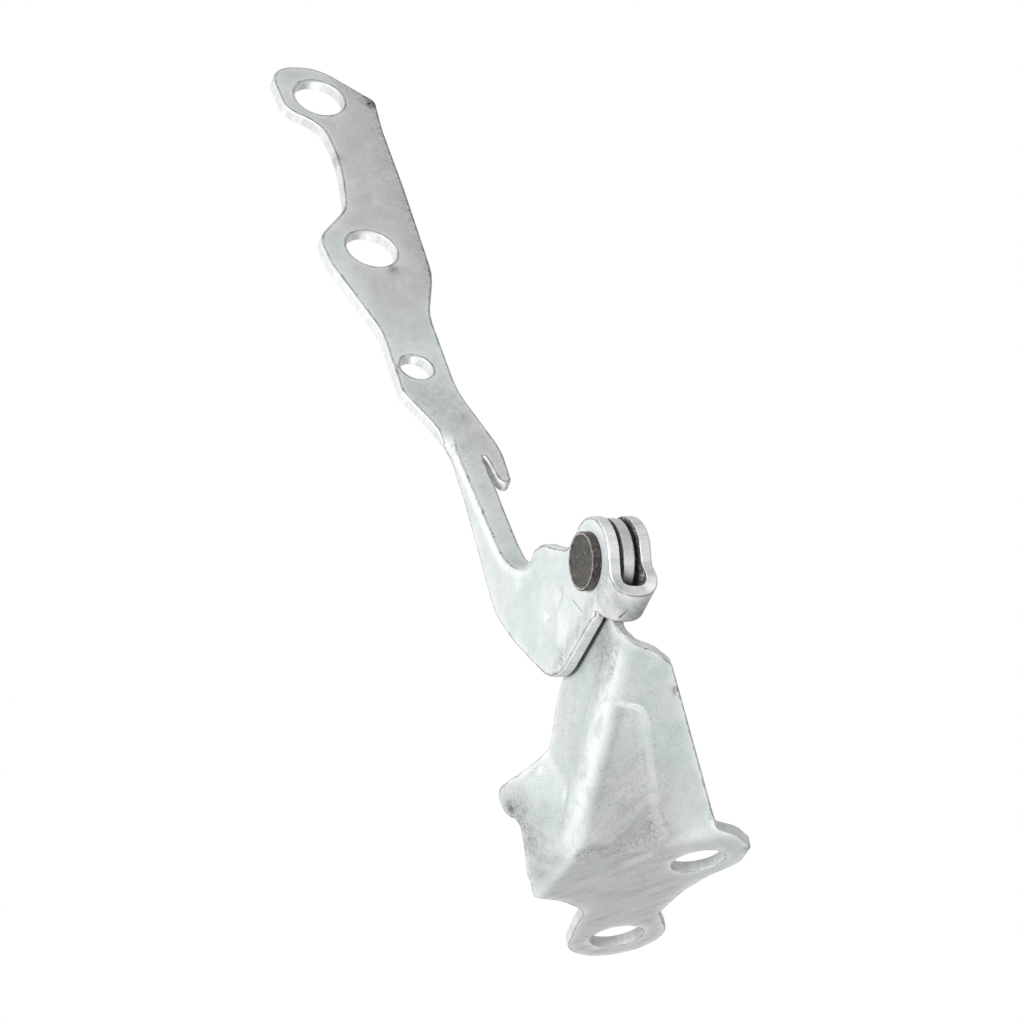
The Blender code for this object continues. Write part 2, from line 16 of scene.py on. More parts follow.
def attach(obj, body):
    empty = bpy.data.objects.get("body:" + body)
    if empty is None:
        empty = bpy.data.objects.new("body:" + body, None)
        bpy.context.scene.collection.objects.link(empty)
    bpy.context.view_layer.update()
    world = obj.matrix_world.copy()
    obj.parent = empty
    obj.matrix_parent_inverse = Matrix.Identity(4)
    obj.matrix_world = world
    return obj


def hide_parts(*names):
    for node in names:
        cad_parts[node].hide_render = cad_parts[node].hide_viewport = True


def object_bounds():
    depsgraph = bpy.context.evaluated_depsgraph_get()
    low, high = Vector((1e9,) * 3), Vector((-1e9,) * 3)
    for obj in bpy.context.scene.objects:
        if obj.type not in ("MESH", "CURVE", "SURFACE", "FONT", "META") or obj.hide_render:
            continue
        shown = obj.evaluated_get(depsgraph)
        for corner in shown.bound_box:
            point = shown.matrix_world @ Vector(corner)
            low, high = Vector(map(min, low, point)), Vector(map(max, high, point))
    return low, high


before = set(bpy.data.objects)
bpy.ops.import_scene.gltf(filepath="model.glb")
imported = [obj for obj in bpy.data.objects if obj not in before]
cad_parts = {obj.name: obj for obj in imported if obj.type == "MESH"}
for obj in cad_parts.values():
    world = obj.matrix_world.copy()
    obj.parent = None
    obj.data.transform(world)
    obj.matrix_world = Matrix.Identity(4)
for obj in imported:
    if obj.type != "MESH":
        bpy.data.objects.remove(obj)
cad_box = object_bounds()

# Sheet and fits
SHEET = 0.0030
SIDE_GAP = 0.0014
FIT = 0.0003

# Pivot
PIVOT_FORE = 0.0837
PIVOT_SIDE = 0.0365
PIVOT_HEIGHT = 0.0544
SHANK_RADIUS = 0.0040
HEAD_RADIUS = 0.0073
HEAD_THICKNESS = 0.0022
TAIL_RADIUS = 0.0062
TAIL_THICKNESS = 0.0019
BUSH_WALL = 0.0009
BUSH_FLANGE_RADIUS = 0.0075
LEG_RADIUS = 0.0110
TONGUE_RADIUS = 0.0105

# Clevis strap
STRAP_SLANT = math.radians(13.0)
STRAP_DROP = 0.0147
STRAP_FRONT = 0.0052
STRAP_BACK = 0.0056
STRAP_WAIST = (0.0060, 0.0110)
STRAP_CORNER = 0.0028
STRAP_SWELL = 0.0018
SWELL_RISE = (0.22, 0.68)
SWELL_FALL = (0.75, 1.18)
RELIEF = 0.0012
WEB_LOWER = 0.0119
STOP_GAP = 0.0006

# Bonnet arm
FLANGE_TILT = math.radians(20.5)
FLANGE_BACK = 0.0712
FLANGE_HEIGHT = 0.0811
WEB_BEND = 0.0016
TWIST_TOP = -0.0140
TWIST_BASE = -0.0240
LIP_START = -0.0570
LIP_RADIUS = 0.0215
LIP_TURNS = (math.radians(20.0), math.radians(88.0))
BONNET_HOLE = 0.0067
LOCATING_HOLE = 0.0042
UPPER_HOLE = (-0.0012, 0.1132)
MIDDLE_HOLE = (-0.0047, 0.0537)
LOWER_HOLE = (-0.0063, 0.0085)

# Body bracket
RIDGE_START = (0.0030, 0.0205)
RAMP_FALL = 0.665
RAMP_CAMBER = 0.225
FOOT_BLEND = 0.0050
RIDGE_RADIUS = 0.0055
FOOT_HOLE = 0.0067
FRONT_HOLE = (0.0378, 0.0599)
REAR_HOLE = (0.0353, 0.1075)
REAR_EYE = 0.0127
FLARE_SLOPE = 0.42
FLARE_BACK = 0.0460
FLARE_DROP = 0.0470
FLARE_SOFT = 0.0030
POCKET_DEPTH = 0.0010
POCKET_FRONT = 0.0170
POCKET_BACK = 0.0500
POCKET_WIDTH = 0.0090
POCKET_SPREAD = 0.43
POCKET_SOFT = 0.0028

# Corners of the arm's outline: two places and the corner's radius. Flange and strip corners are measured
# across from the pin and up from the flange's start or a hole, web corners back and up from the pin, and
# lip corners by the turn along the lip in degrees and the width from its corner.
WEB_BACK = [(0.0322, -0.0186, 0.015), (0.0500, 0.0015, 0.030), (0.0575, 0.0130, 0.03), (0.0586, 0.0225, 0.05),
            (0.0615, 0.0436, 0.06)]
NOTCH = [(-0.0060, -0.0225, 0.020), (-0.0076, -0.0155, 0.030), (-0.0090, -0.0110, 0.020),
         (-0.0112, -0.0058, 0.010), (-0.0133, -0.0005, 0.0015)]
MIDDLE_LEFT = [(-0.0072, -0.0317, 0.020), (-0.0134, -0.0060, 0.012), (-0.0138, 0.0042, 0.009),
               (-0.0024, 0.0158, 0.012)]
UPPER_END = [(-0.0020, -0.0247, 0.06), (-0.0028, -0.0105, 0.012), (-0.0112, -0.0050, 0.007),
             (-0.0112, 0.0124, 0.011), (0.0030, 0.0124, 0.012), (0.0158, -0.0009, 0.0025),
             (0.0144, -0.0120, 0.05)]
MIDDLE_RIGHT = [(0.0168, 0.0243, 0.15), (0.0143, -0.0097, 0.025), (0.0085, -0.0252, 0.020)]
HOOK = [(0.0024, 0.0, 0.030), (0.0070, -0.0195, 0.010), (0.0074, -0.0240, 0.010), (0.0070, -0.0295, 0.010),
        (0.0066, -0.0335, 0.0018), (0.0048, -0.0348, 0.0014), (0.0030, -0.0333, 0.003),
        (0.0026, -0.0272, 0.004), (0.0020, -0.0247, 0.0003)]
STRIP_SIDE = [(0.0015, -0.0247, 0.0003), (0.0015, -0.0359, 0.1), (0.0012, -0.0443, 0.1)]
LIP = [(0.0, 0.0054, 0.0), (15.0, 0.0053, 0.0), (30.0, 0.0053, 0.0), (45.0, 0.0051, 0.0), (60.0, 0.0046, 0.0),
       (75.0, 0.0032, 0.0)]
WEB_FRONT = [(0.0239, 0.0161, 0.010), (0.0207, 0.0146, 0.010), (0.0110, 0.0084, 0.006)]

# Corners of the bracket's outline. Tab and foot corners are measured right of and behind the pin or hole, and
# ear corners behind and above the pin.
RAMP_FRONT = [(0.0005, 0.0020, 0.004), (0.0085, 0.0030, 0.008), (0.0132, 0.0052, 0.003)]
FRONT_TAB = [(-0.0022, -0.0179, 0.003), (0.0042, -0.0158, 0.010), (0.0110, -0.0085, 0.003),
             (0.0122, 0.0015, 0.008), (0.0070, 0.0095, 0.012)]
REAR_TAB_RIGHT = [(0.0064, -0.0285, 0.02), (0.0057, -0.0150, 0.005)]
REAR_TAB_LEFT = [(-0.0146, -0.0070, 0.006), (-0.0158, -0.0170, 0.010), (-0.0260, -0.0245, 0.020)]
HEEL = [(0.0010, 0.0814, 0.0005)]
EAR = [(0.0770, -0.0530, 0.001), (0.0755, -0.0480, 0.004), (0.0680, -0.0388, 0.003), (0.0722, -0.0360, 0.003),
       (0.0705, -0.0300, 0.004), (0.0560, -0.0297, 0.02), (0.0478, -0.0278, 0.006), (0.0423, -0.0190, 0.012),
       (0.0330, -0.0135, 0.02)]
THROAT_RADIUS = 0.0012
THROAT_GAP = 0.0016         # between the strap's inside and the neck's corner above it

# Cut edges: the punch rolls one face's edge over and leaves the other sharper
ROLLED_EDGE = 0.00055
SHARP_EDGE = 0.00022

EDGE_LINE = 0.0012          # width beside a cut edge over which its distance is kept
EDGE_RUB = 0.0013           # reach of the rubbed band beside it

# Crisp corner between web and strip
CREST_SOFT = 0.00022
CREST_SHARE = 0.85          # share of a sharp corner's height that stands out of the even bend
CREST_WIDTH = 0.006         # width beside the corner over which its distance is kept

# Forms of the web: a line of blank points, its width and its height
WEB_FORMS = [([(0.0180, 0.0125)], 0.0045, -0.0009),
             ([(0.0400, 0.0130), (0.0310, 0.0100), (0.0220, 0.0095), (0.0135, 0.0060)], 0.0024, 0.0010),
             ([(0.0290, -0.0010), (0.0235, -0.0018), (0.0195, 0.0004)], 0.0013, 0.0009),
             ([(0.0215, -0.0050), (0.0245, -0.0110)], 0.0032, -0.0009)]

# Forms of the bracket's ramp and foot, as places right of and behind the pin, and of its side wall, as
# places behind and above the pin
FOOT_FORMS = [([(0.0030, 0.0158), (0.0085, 0.0165), (0.0098, 0.0176), (0.0096, 0.0205),
                (0.0130, 0.0302), (0.0173, 0.0377), (0.0240, 0.0456)], 0.0008, -0.00014),
              ([(0.0040, 0.0560), (0.0132, 0.0526), (0.0189, 0.0456)], 0.0034, 0.00060),
              ([(0.0175, 0.0600), (0.0250, 0.0500)], 0.0026, 0.00035)]
WALL_FORMS = [([(0.0110, -0.0205), (0.0234, -0.0265), (0.0335, -0.0340)], 0.0010, -0.00025),
              ([(0.0486, -0.0282), (0.0474, -0.0331), (0.0445, -0.0395), (0.0464, -0.0430),
                (0.0517, -0.0468), (0.0600, -0.0490)], 0.0014, 0.00045),
              ([(0.0585, -0.0335), (0.0530, -0.0320)], 0.0011, -0.00035),
              ([(0.0640, -0.0375)], 0.0022, 0.00030),
              ([(0.0600, -0.0430), (0.0680, -0.0450)], 0.0016, 0.00030)]

# Dirt in the same way: a line of places, its width and its strength
FLANGE_DIRT = [([(UPPER_HOLE[0] + 0.0148, UPPER_HOLE[1] - 0.0012)], 0.0022, 1.5),
               ([(MIDDLE_HOLE[0] + 0.0035, MIDDLE_HOLE[1] - 0.0080)], 0.0016, 0.6),
               ([(-0.0068, 0.092), (-0.0030, 0.089)], 0.0016, 0.35)]
WALL_DIRT = [([(0.0690, -0.0355)], 0.0022, 0.7),
             ([(0.0660, -0.0375), (0.0690, -0.0440)], 0.0034, 0.38)]
FOOT_DIRT = [([(0.0040, 0.0560), (0.0140, 0.0526), (0.0195, 0.0450)], 0.0040, 0.30),
             ([(0.0158, 0.0110)], 0.0007, 1.3),
             ([(FRONT_HOLE[0] - 0.0046, FRONT_HOLE[1] - 0.0217)], 0.0008, 1.3),
             ([(FRONT_HOLE[0] + 0.0106, FRONT_HOLE[1] - 0.0072)], 0.0011, 1.0)]

# Mesh fineness
ARC_STEP = math.radians(9.0)
HOLE_SIDES = 72
ROUND_SIDES = 128
EDGE_STEP = 0.0009
EDGE_TOLERANCE = 0.00002
CORNER_ROWS = (0.00022, 0.0005, 0.0009, 0.0013, 0.0017)
CORNER_REACH = 0.0036       # width of the finer mesh beside the bent corner
LIP_FRONT = 0.018           # where the finer mesh of the lip ends, behind the pin
FIELD_STEP = 0.00105
FINE_STEP = 0.00055
ROW_STEP = FINE_STEP * 0.6
RIM_SHARE = 0.45            # share of a step that inner mesh points keep from a cut edge
OFFSET_PROBE = 0.00002
LAYER_SHIFT = 0.0004        # keeps the faces of a sheet apart in the materials' patterns

WALL = SHEET / 2
LEG = WALL + SIDE_GAP + WALL
STRAP_START = STRAP_DROP - WALL - LEG
STRAP_TURN = math.pi * LEG
MIRROR_LINE = STRAP_START + STRAP_TURN / 2
FOOT = -PIVOT_HEIGHT
PIVOT = Vector((-PIVOT_SIDE, -PIVOT_FORE, PIVOT_HEIGHT))
RISE = np.array((math.sin(FLANGE_TILT), math.cos(FLANGE_TILT)))     # up the flange, as (y, z)
AHEAD = np.array((-math.cos(FLANGE_TILT), math.sin(FLANGE_TILT)))   # square to it, towards the front
FLANGE_START = np.array((FLANGE_BACK, FLANGE_HEIGHT))
LIP_CENTRE = FLANGE_START + LIP_START * RISE + LIP_RADIUS * AHEAD

# Camera, from the photograph: a long lens two metres from the hinge, in front, to its left and a little below
CAMERA_RIGHT = Vector((0.912, -0.3689, -0.1799))
CAMERA_UP = Vector((0.0015, -0.4351, 0.9004))
CAMERA_DISTANCE = 2.0
FOCAL_PIXELS = 8200.0
IMAGE_SIZE = 1024.0
SENSOR_WIDTH = 36.0
PIVOT_PIXEL = (611.9, 561.2)
FLOOR_HEIGHT = -1.05
FLOOR_HALF = 4.0
WORLD_LIGHT = (0.95, 0.98, 1.0, 1.0)
WORLD_STRENGTH = 0.24
WHITE = (1.0, 1.0, 1.0, 1.0)


# Outlines

def rounded(corners):
    """Points of a closed outline whose corners (x, y, radius) are turned into arcs."""
    points = []
    count = len(corners)
    for i, (x, y, radius) in enumerate(corners):
        here = np.array((x, y))
        before = np.array(corners[i - 1][:2]) - here
        after = np.array(corners[(i + 1) % count][:2]) - here
        to_before, to_after = before / np.linalg.norm(before), after / np.linalg.norm(after)
        turn = math.pi - math.acos(float(np.clip(to_before @ to_after, -1.0, 1.0)))
        if radius <= 0.0 or turn < 0.02:
            points.append(here)
            continue
        room = 0.49 * min(np.linalg.norm(before), np.linalg.norm(after))
        reach = min(radius * math.tan(turn / 2), room)
        true_radius = reach / math.tan(turn / 2)
        middle = to_before + to_after
        centre = here + middle / np.linalg.norm(middle) * math.hypot(reach, true_radius)
        start, end = here + to_before * reach - centre, here + to_after * reach - centre
        first = math.atan2(start[1], start[0])
        sweep = (math.atan2(end[1], end[0]) - first + math.pi) % (2 * math.pi) - math.pi
        steps = max(1, math.ceil(abs(sweep) / ARC_STEP))
        for k in range(steps + 1):
            angle = first + sweep * k / steps
            points.append(centre + true_radius * np.array((math.cos(angle), math.sin(angle))))
    return points


def arc(centre, radius, first, last):
    """Corner entries along an arc, with angles in degrees."""
    steps = max(2, math.ceil(math.radians(abs(last - first)) / ARC_STEP))
    angles = [math.radians(first + (last - first) * k / steps) for k in range(steps + 1)]
    return [(centre[0] + radius * math.cos(a), centre[1] + radius * math.sin(a), 0.0) for a in angles]


def circle(centre, radius, sides=HOLE_SIDES):
    turns = [2 * math.pi * k / sides for k in range(sides)]
    return [np.array((centre[0] + radius * math.cos(t), centre[1] + radius * math.sin(t))) for t in turns]


def mapped(place, corners, origin=(0.0, 0.0)):
    """Corner entries measured from an origin, as blank points by one of the on_ functions."""
    return [place(x + origin[0], y + origin[1], radius) for x, y, radius in corners]


def inside(points, loop):
    """True for each point that lies inside the closed loop."""
    x, y = points[:, 0], points[:, 1]
    result = np.zeros(len(points), bool)
    for (x0, y0), (x1, y1) in zip(loop, np.roll(loop, -1, axis=0)):
        if y0 != y1:
            crosses = (y0 > y) != (y1 > y)
            result ^= crosses & (x < (x1 - x0) * (y - y0) / (y1 - y0) + x0)
    return result


def off_line(points, line):
    """Distance of each point from the nearest part of a line of places."""
    best = np.full(len(points), 1e9)
    for start, end in zip(line, line[1:]):
        start, edge = np.array(start[:2]), np.array(end[:2]) - np.array(start[:2])
        along = np.clip(((points - start) @ edge) / max(edge @ edge, 1e-18), 0.0, 1.0)
        best = np.minimum(best, np.linalg.norm(points - start - along[:, None] * edge, axis=1))
    return best


def clearance(points, loop):
    """Distance of each point from the nearest edge of the loop."""
    return off_line(points, np.concatenate([loop, loop[:1]]))


def lattice(low, high, step):
    """Points of a triangular lattice over a rectangle."""
    rows = np.arange(low[1], high[1], step * math.sqrt(3) / 2)
    columns = np.arange(low[0], high[0], step)
    x, y = np.meshgrid(columns, rows, indexing="ij")
    x = x + step / 2 * (np.arange(len(rows)) % 2)
    return np.stack([x.ravel(), y.ravel()], axis=1)


# Folding

def fold(length, radius, angle):
    """A flat length folded about its zero point: how far it runs on, and how far it turns aside."""
    tangent = radius * np.tan(angle / 2)
    share = np.clip((length + tangent) / np.maximum(2 * tangent, 1e-9), 0.0, 1.0)
    before = np.minimum(length + tangent, 0.0)
    after = np.maximum(length - tangent, 0.0)
    along = -tangent + before + radius * np.sin(share * angle) + after * np.cos(angle)
    aside = radius * (1 - np.cos(share * angle)) + after * np.sin(angle)
    return along, aside


def smooth_step(value):
    value = np.clip(value, 0.0, 1.0)
    return value * value * (3 - 2 * value)


def follow(loop, place):
    """Splits the edges of a blank's outline until each one is short and keeps close to the folded surface."""
    loop = np.array(loop)
    while True:
        following = np.roll(loop, -1, axis=0)
        start, end = place(loop), place(following)
        off = np.zeros(len(loop))
        for share in (0.25, 0.5, 0.75):
            on_sheet = place(loop + share * (following - loop))
            off = np.maximum(off, np.linalg.norm(on_sheet - start - share * (end - start), axis=1))
        length = np.linalg.norm(following - loop, axis=1)
        split = ((off > EDGE_TOLERANCE) & (length > EDGE_STEP / 6)) | (length > EDGE_STEP)
        if not split.any():
            return loop
        middles = (loop + following) / 2
        loop = np.insert(loop, np.flatnonzero(split) + 1, middles[split], axis=0)


def pressed(points, line, width, height):
    """A soft ridge or groove of the given height along a line of blank points."""
    return height * np.exp(-(off_line(points, line) / width) ** 2)


def spot(points, centre, radius, height=1.0):
    """A soft round form or mark."""
    return pressed(points, [centre, centre], radius, height)


def forms(points, entries, place=None):
    """Sum of forms or marks, each a line of places with its width and height."""
    total = np.zeros(len(points))
    for line, width, height in entries:
        on_blank = [place(*p) for p in line] if place else line
        total += pressed(points, on_blank if len(line) > 1 else on_blank * 2, width, height)
    return total


# Bonnet arm. Blank points are (y, z) of the web; strip and flange lie in front of its corner.

def on_flange(x, up, radius=0.0):
    y, z = FLANGE_START + up * RISE + (x + LEG) * AHEAD
    return (y, z, radius)


def on_lip(turn, width, radius=0.0):
    """A point by its turn along the lip, in degrees, and its distance from the lip's corner."""
    angle = math.radians(turn)
    y, z = LIP_CENTRE - (LIP_RADIUS - width) * (math.cos(angle) * AHEAD + math.sin(angle) * RISE)
    return (y, z, radius)


def on_strap(ahead, down, radius=0.0):
    """A point by its place along and across the slanted fold of the strap."""
    y = ahead * math.cos(STRAP_SLANT) - down * math.sin(STRAP_SLANT)
    z = -ahead * math.sin(STRAP_SLANT) - down * math.cos(STRAP_SLANT)
    return (y, z, radius)


def strap_down(blank):
    return -blank[:, 0] * math.sin(STRAP_SLANT) - blank[:, 1] * math.cos(STRAP_SLANT)


def place_arm(blank):
    u, v = blank[:, 0], blank[:, 1]
    from_start = blank - FLANGE_START
    up, width = from_start @ RISE, from_start @ AHEAD
    angle = math.pi / 2 * smooth_step((TWIST_TOP - up) / (TWIST_TOP - TWIST_BASE))
    along, aside = fold(-width, WEB_BEND, angle)
    straight_x = -LEG - along
    straight = FLANGE_START + up[:, None] * RISE - aside[:, None] * AHEAD

    from_centre = blank - LIP_CENTRE
    reach = np.maximum(np.linalg.norm(from_centre, axis=1), WALL)
    outward = from_centre / reach[:, None]
    turn = np.arctan2(-outward @ RISE, -outward @ AHEAD)
    angle = math.pi / 2 * smooth_step((LIP_TURNS[1] - turn) / (LIP_TURNS[1] - LIP_TURNS[0]))
    along, aside = fold(LIP_RADIUS - reach, WEB_BEND, angle)
    lip_x = aside - LEG
    lip = LIP_CENTRE + (LIP_RADIUS - along)[:, None] * outward

    lower = up < LIP_START
    x = np.where(lower, lip_x, straight_x)
    y_z = np.where(lower[:, None], lip, straight)

    ahead = u * math.cos(STRAP_SLANT) - v * math.sin(STRAP_SLANT)
    down = strap_down(blank)
    joined = smooth_step((STRAP_BACK + 3 * RELIEF - ahead) / (3 * RELIEF))
    strap = np.where(down > MIRROR_LINE, 1.0, joined) * (down > STRAP_START)
    turn = np.clip((down - STRAP_START) / LEG, 0.0, math.pi)
    rise = np.maximum(down - STRAP_START - STRAP_TURN, 0.0)
    folded_down = STRAP_START + LEG * np.sin(turn) - rise
    past = (down - STRAP_START) / STRAP_TURN
    swell = (STRAP_SWELL * smooth_step((past - SWELL_RISE[0]) / (SWELL_RISE[1] - SWELL_RISE[0]))
             * smooth_step((SWELL_FALL[1] - past) / (SWELL_FALL[1] - SWELL_FALL[0])))
    strap_y, strap_z, _ = on_strap(ahead, folded_down)
    flat = np.column_stack([x, y_z])
    folded = np.stack([swell - LEG * np.cos(turn), strap_y, strap_z], axis=1)
    return flat + strap[:, None] * (folded - flat)


def arm_outline():
    far = 2 * MIRROR_LINE
    web_back = [on_strap(STRAP_BACK + RELIEF, WEB_LOWER, RELIEF / 3)] + WEB_BACK
    flange = (mapped(on_flange, NOTCH) + mapped(on_flange, MIDDLE_LEFT, MIDDLE_HOLE)
              + mapped(on_flange, UPPER_END, UPPER_HOLE) + mapped(on_flange, MIDDLE_RIGHT, MIDDLE_HOLE)
              + mapped(on_flange, HOOK) + mapped(on_flange, STRIP_SIDE))
    leg_end = arc((0.0, 0.0), LEG_RADIUS, 62.0, 190.0)
    strap_front = [on_strap(-STRAP_FRONT, MIRROR_LINE - STRAP_CORNER, STRAP_FRONT),
                   on_strap(-STRAP_FRONT, MIRROR_LINE + STRAP_CORNER, STRAP_FRONT)]
    far_leg = [on_strap(-LEG_RADIUS * math.cos(a), far + LEG_RADIUS * math.sin(a))
               for a in np.linspace(math.radians(-10.0), math.radians(190.0), 28)]
    strap_back = [on_strap(LEG_RADIUS * 0.97, far - STRAP_WAIST[0], 0.7 * STRAP_BACK),
                  on_strap(STRAP_BACK, far - STRAP_WAIST[1], 0.7 * STRAP_BACK),
                  on_strap(STRAP_BACK, WEB_LOWER - RELIEF, RELIEF / 4)]
    return (web_back + flange + mapped(on_lip, LIP) + WEB_FRONT + leg_end + strap_front + far_leg
            + strap_back)


def off_corner(blank):
    """Distance from the bent corner between web and strip or from its lip, positive towards the strip."""
    x, up = flange_place(blank)
    off_lip = LIP_RADIUS - np.linalg.norm(blank - LIP_CENTRE, axis=1)
    return np.where(up < LIP_START, off_lip, x + LEG)


def corner_bend(blank):
    """How fully the sheet is folded beside the corner between web and strip: nought flat, one square."""
    up = flange_place(blank)[1]
    from_centre = blank - LIP_CENTRE
    turn = np.arctan2(-from_centre @ RISE, -from_centre @ AHEAD)
    upper = smooth_step((TWIST_TOP - up) / (TWIST_TOP - TWIST_BASE))
    lower = smooth_step((LIP_TURNS[1] - np.abs(turn)) / (LIP_TURNS[1] - LIP_TURNS[0]))
    return np.where(up < LIP_START, lower, upper)


def crest(blank):
    """How far the corner stands out of an even bend, so that its outer side is crisp."""
    off = np.sqrt(off_corner(blank)**2 + CREST_SOFT**2)
    angle = math.pi / 4 * corner_bend(blank)**2 * np.clip(1.0 - off / WEB_BEND, 0.0, 1.0)
    return CREST_SHARE * (WEB_BEND + WALL) * (1.0 / np.cos(angle) - 1.0)


def arm_relief(blank):
    """The web's crisp bent corner, a hump at its top edge, valleys round it and a short groove."""
    return forms(blank, WEB_FORMS) - crest(blank)


def flange_place(blank):
    """Blank points as places across from the pin and up from the flange's start."""
    from_start = blank - FLANGE_START
    return from_start @ AHEAD - LEG, from_start @ RISE


def arm_fine(blank):
    """Where the arm's mesh is closer: the strap's fold, and the bend between web and strip."""
    down = strap_down(blank)
    strap = (down > STRAP_START - 0.001) & (down < STRAP_START + STRAP_TURN + 0.001)
    up = flange_place(blank)[1]
    off = np.abs(off_corner(blank))
    near = (up < TWIST_TOP) & (up > LIP_START) | (up < LIP_START) & (blank[:, 0] > LIP_FRONT)
    finer = strap | near & (off < CORNER_REACH)
    return np.where(near & (off < CORNER_ROWS[-1] + 0.0003), 2, finer.astype(int))


def arm_rows():
    """Blank points in rows along the bent corner between web and strip."""
    widths = [side * width for width in CORNER_ROWS for side in (-1, 1)] + [0.0]
    rows = [on_flange(width - LEG, up) for width in widths
            for up in np.arange(LIP_START + EDGE_STEP / 2, TWIST_TOP, EDGE_STEP * 0.7)]
    rows += [on_lip(turn, width) for width in widths for turn in np.arange(0.5, 92.0, 1.7)]
    return np.array([p[:2] for p in rows])


def arm_marks(blank, rim, inner):
    """Wear and dirt of the arm: smudges on the flange, a dark right edge, painted shade on the legs' inner
    faces, and a painted highlight and painted black shade line at the bent corner.
    """
    x, up = flange_place(blank)
    stain = 0.75 * smooth_step((up - 0.012) / 0.030) * smooth_step((x + 0.016) / 0.010)
    stain *= 1.0 - 0.85 * spot(blank, on_flange(UPPER_HOLE[0] - 0.004, UPPER_HOLE[1] + 0.004), 0.0125)
    right = smooth_step((x - 0.003) / 0.006) * smooth_step((up - 0.012) / 0.020)
    grime = 0.50 * right * np.exp(-rim / 0.0026)
    stain += 0.55 * smooth_step((0.004 - up) / 0.012) * smooth_step((x + 0.004) / 0.006) * (up > LIP_START)
    grime += forms(blank, FLANGE_DIRT, on_flange)
    specks = smooth_step((0.028 - np.abs(up + 0.008)) / 0.012) * smooth_step((x + 0.014) / 0.006)
    worn = 0.5 * smooth_step((0.030 - np.abs(up + 0.012)) / 0.020) * (x > -0.012)
    down = strap_down(blank)
    worn += 1.3 * smooth_step((down - STRAP_START + 0.004) / 0.004)
    # Painted shade: the inner faces of the legs and of the strap's fold are darkened with the dirt, where
    # shade falls between the parts.
    legs = spot(blank, (0.0, 0.0), 0.0115, 1.3) + smooth_step((down - STRAP_START + 0.003) / 0.003)
    grime += 2.2 * inner * np.minimum(legs, 1.0)
    stain += 0.35 * smooth_step((down - STRAP_START - 0.001) / 0.003)
    off = off_corner(blank)
    # The painted highlight is a bright band on the web beside the bent corner; crest and crest_share place a
    # painted black shade line just beside the corner.
    return {"stain": stain, "grime": grime, "specks": specks, "worn": worn,
            "shine": corner_bend(blank) * np.exp(-((off + 0.0004) / 0.0007)**2),
            "crest": np.clip(0.5 + off / CREST_WIDTH, 0.0, 1.0),
            "crest_share": corner_bend(blank) * np.exp(-(off / 0.004)**2)}


# Body bracket. Blank points are (w, y): w runs down the side wall to the ridge, then out along the ramp.

def underside(x, y):
    """Height of the ramp and foot's lower face, with the pressed pocket."""
    ramp = -RIDGE_START[1] - RAMP_FALL * (y - RIDGE_START[0]) - RAMP_CAMBER * (x + WALL)
    share = np.clip(0.5 + 0.5 * (ramp - FOOT) / FOOT_BLEND, 0.0, 1.0)
    height = FOOT * (1 - share) + ramp * share + FOOT_BLEND * share * (1 - share)
    edge = POCKET_WIDTH + POCKET_SPREAD * (y - POCKET_FRONT)
    pocket = (smooth_step((edge - x) / POCKET_SOFT + 0.5)
              * smooth_step((y - POCKET_FRONT) / POCKET_SOFT + 0.5)
              * smooth_step((POCKET_BACK - y) / (4 * POCKET_SOFT)) * smooth_step(x / (2 * POCKET_SOFT)))
    return height + POCKET_DEPTH * pocket


def ridge(y):
    return underside(np.full_like(y, -WALL), y)


def flare(y, z):
    """How far the stop ear leans out of the side wall's plane."""
    past, above = y - FLARE_BACK, z + FLARE_DROP
    nearer = 0.5 * (past + above - np.sqrt((past - above)**2 + FLARE_SOFT**2))
    return FLARE_SLOPE * 0.5 * (nearer + np.sqrt(nearer**2 + FLARE_SOFT**2))


def place_bracket(blank):
    w, y = blank[:, 0], blank[:, 1]
    radius = RIDGE_RADIUS
    angle = np.clip((w + radius) / (2 * radius), 0.0, 1.0) * math.pi / 2
    x = -WALL + radius * (1 - np.cos(angle)) + np.maximum(w - radius, 0.0)
    lift = radius * (1 - np.sin(angle)) + np.maximum(-w - radius, 0.0)
    z = underside(np.maximum(x, -WALL), y) + lift
    x = x - flare(y, z)
    return np.stack([x, y, z], axis=1)


def on_wall(y, z, radius=0.0):
    return (float(ridge(np.array([y]))[0]) - z, y, radius)


def on_foot(x, y, radius=0.0):
    return (x + WALL, y, radius)


def bracket_outline():
    tongue = [on_wall(TONGUE_RADIUS * math.cos(a), TONGUE_RADIUS * math.sin(a))
              for a in np.linspace(math.radians(38.0), math.radians(240.0), 40)]
    neck = STRAP_BACK + STOP_GAP
    throat = [on_wall(*on_strap(neck, STRAP_DROP - SHEET - THROAT_GAP)[:2], THROAT_RADIUS / 2),
              on_wall(*on_strap(neck, STRAP_DROP + THROAT_RADIUS)[:2], THROAT_RADIUS)]
    foot = (mapped(on_foot, RAMP_FRONT) + mapped(on_foot, FRONT_TAB, FRONT_HOLE)
            + mapped(on_foot, REAR_TAB_RIGHT, REAR_HOLE)
            + mapped(on_foot, arc(REAR_HOLE, REAR_EYE, -38.0, 178.0))
            + mapped(on_foot, REAR_TAB_LEFT, REAR_HOLE) + mapped(on_foot, HEEL))
    return tongue + throat + foot + mapped(on_wall, EAR)


def bracket_relief(blank):
    """The pocket's lip, folds beside the ridge, a hollow in the foot, and the creased, dented ear."""
    return forms(blank, FOOT_FORMS, on_foot) + forms(blank, WALL_FORMS, on_wall)


def bracket_fine(blank):
    """Where the bracket's mesh is closer: over the ridge, the pocket's lip and the ear's crease."""
    bend = np.abs(blank[:, 0]) < RIDGE_RADIUS + 0.0010
    pocket = (blank[:, 0] > 0.0) & (blank[:, 0] < 0.0260) & (blank[:, 1] > 0.0130) & (blank[:, 1] < 0.0480)
    ear = (blank[:, 0] < 0.0) & (blank[:, 1] > 0.0400)
    return (bend | pocket | ear).astype(int)


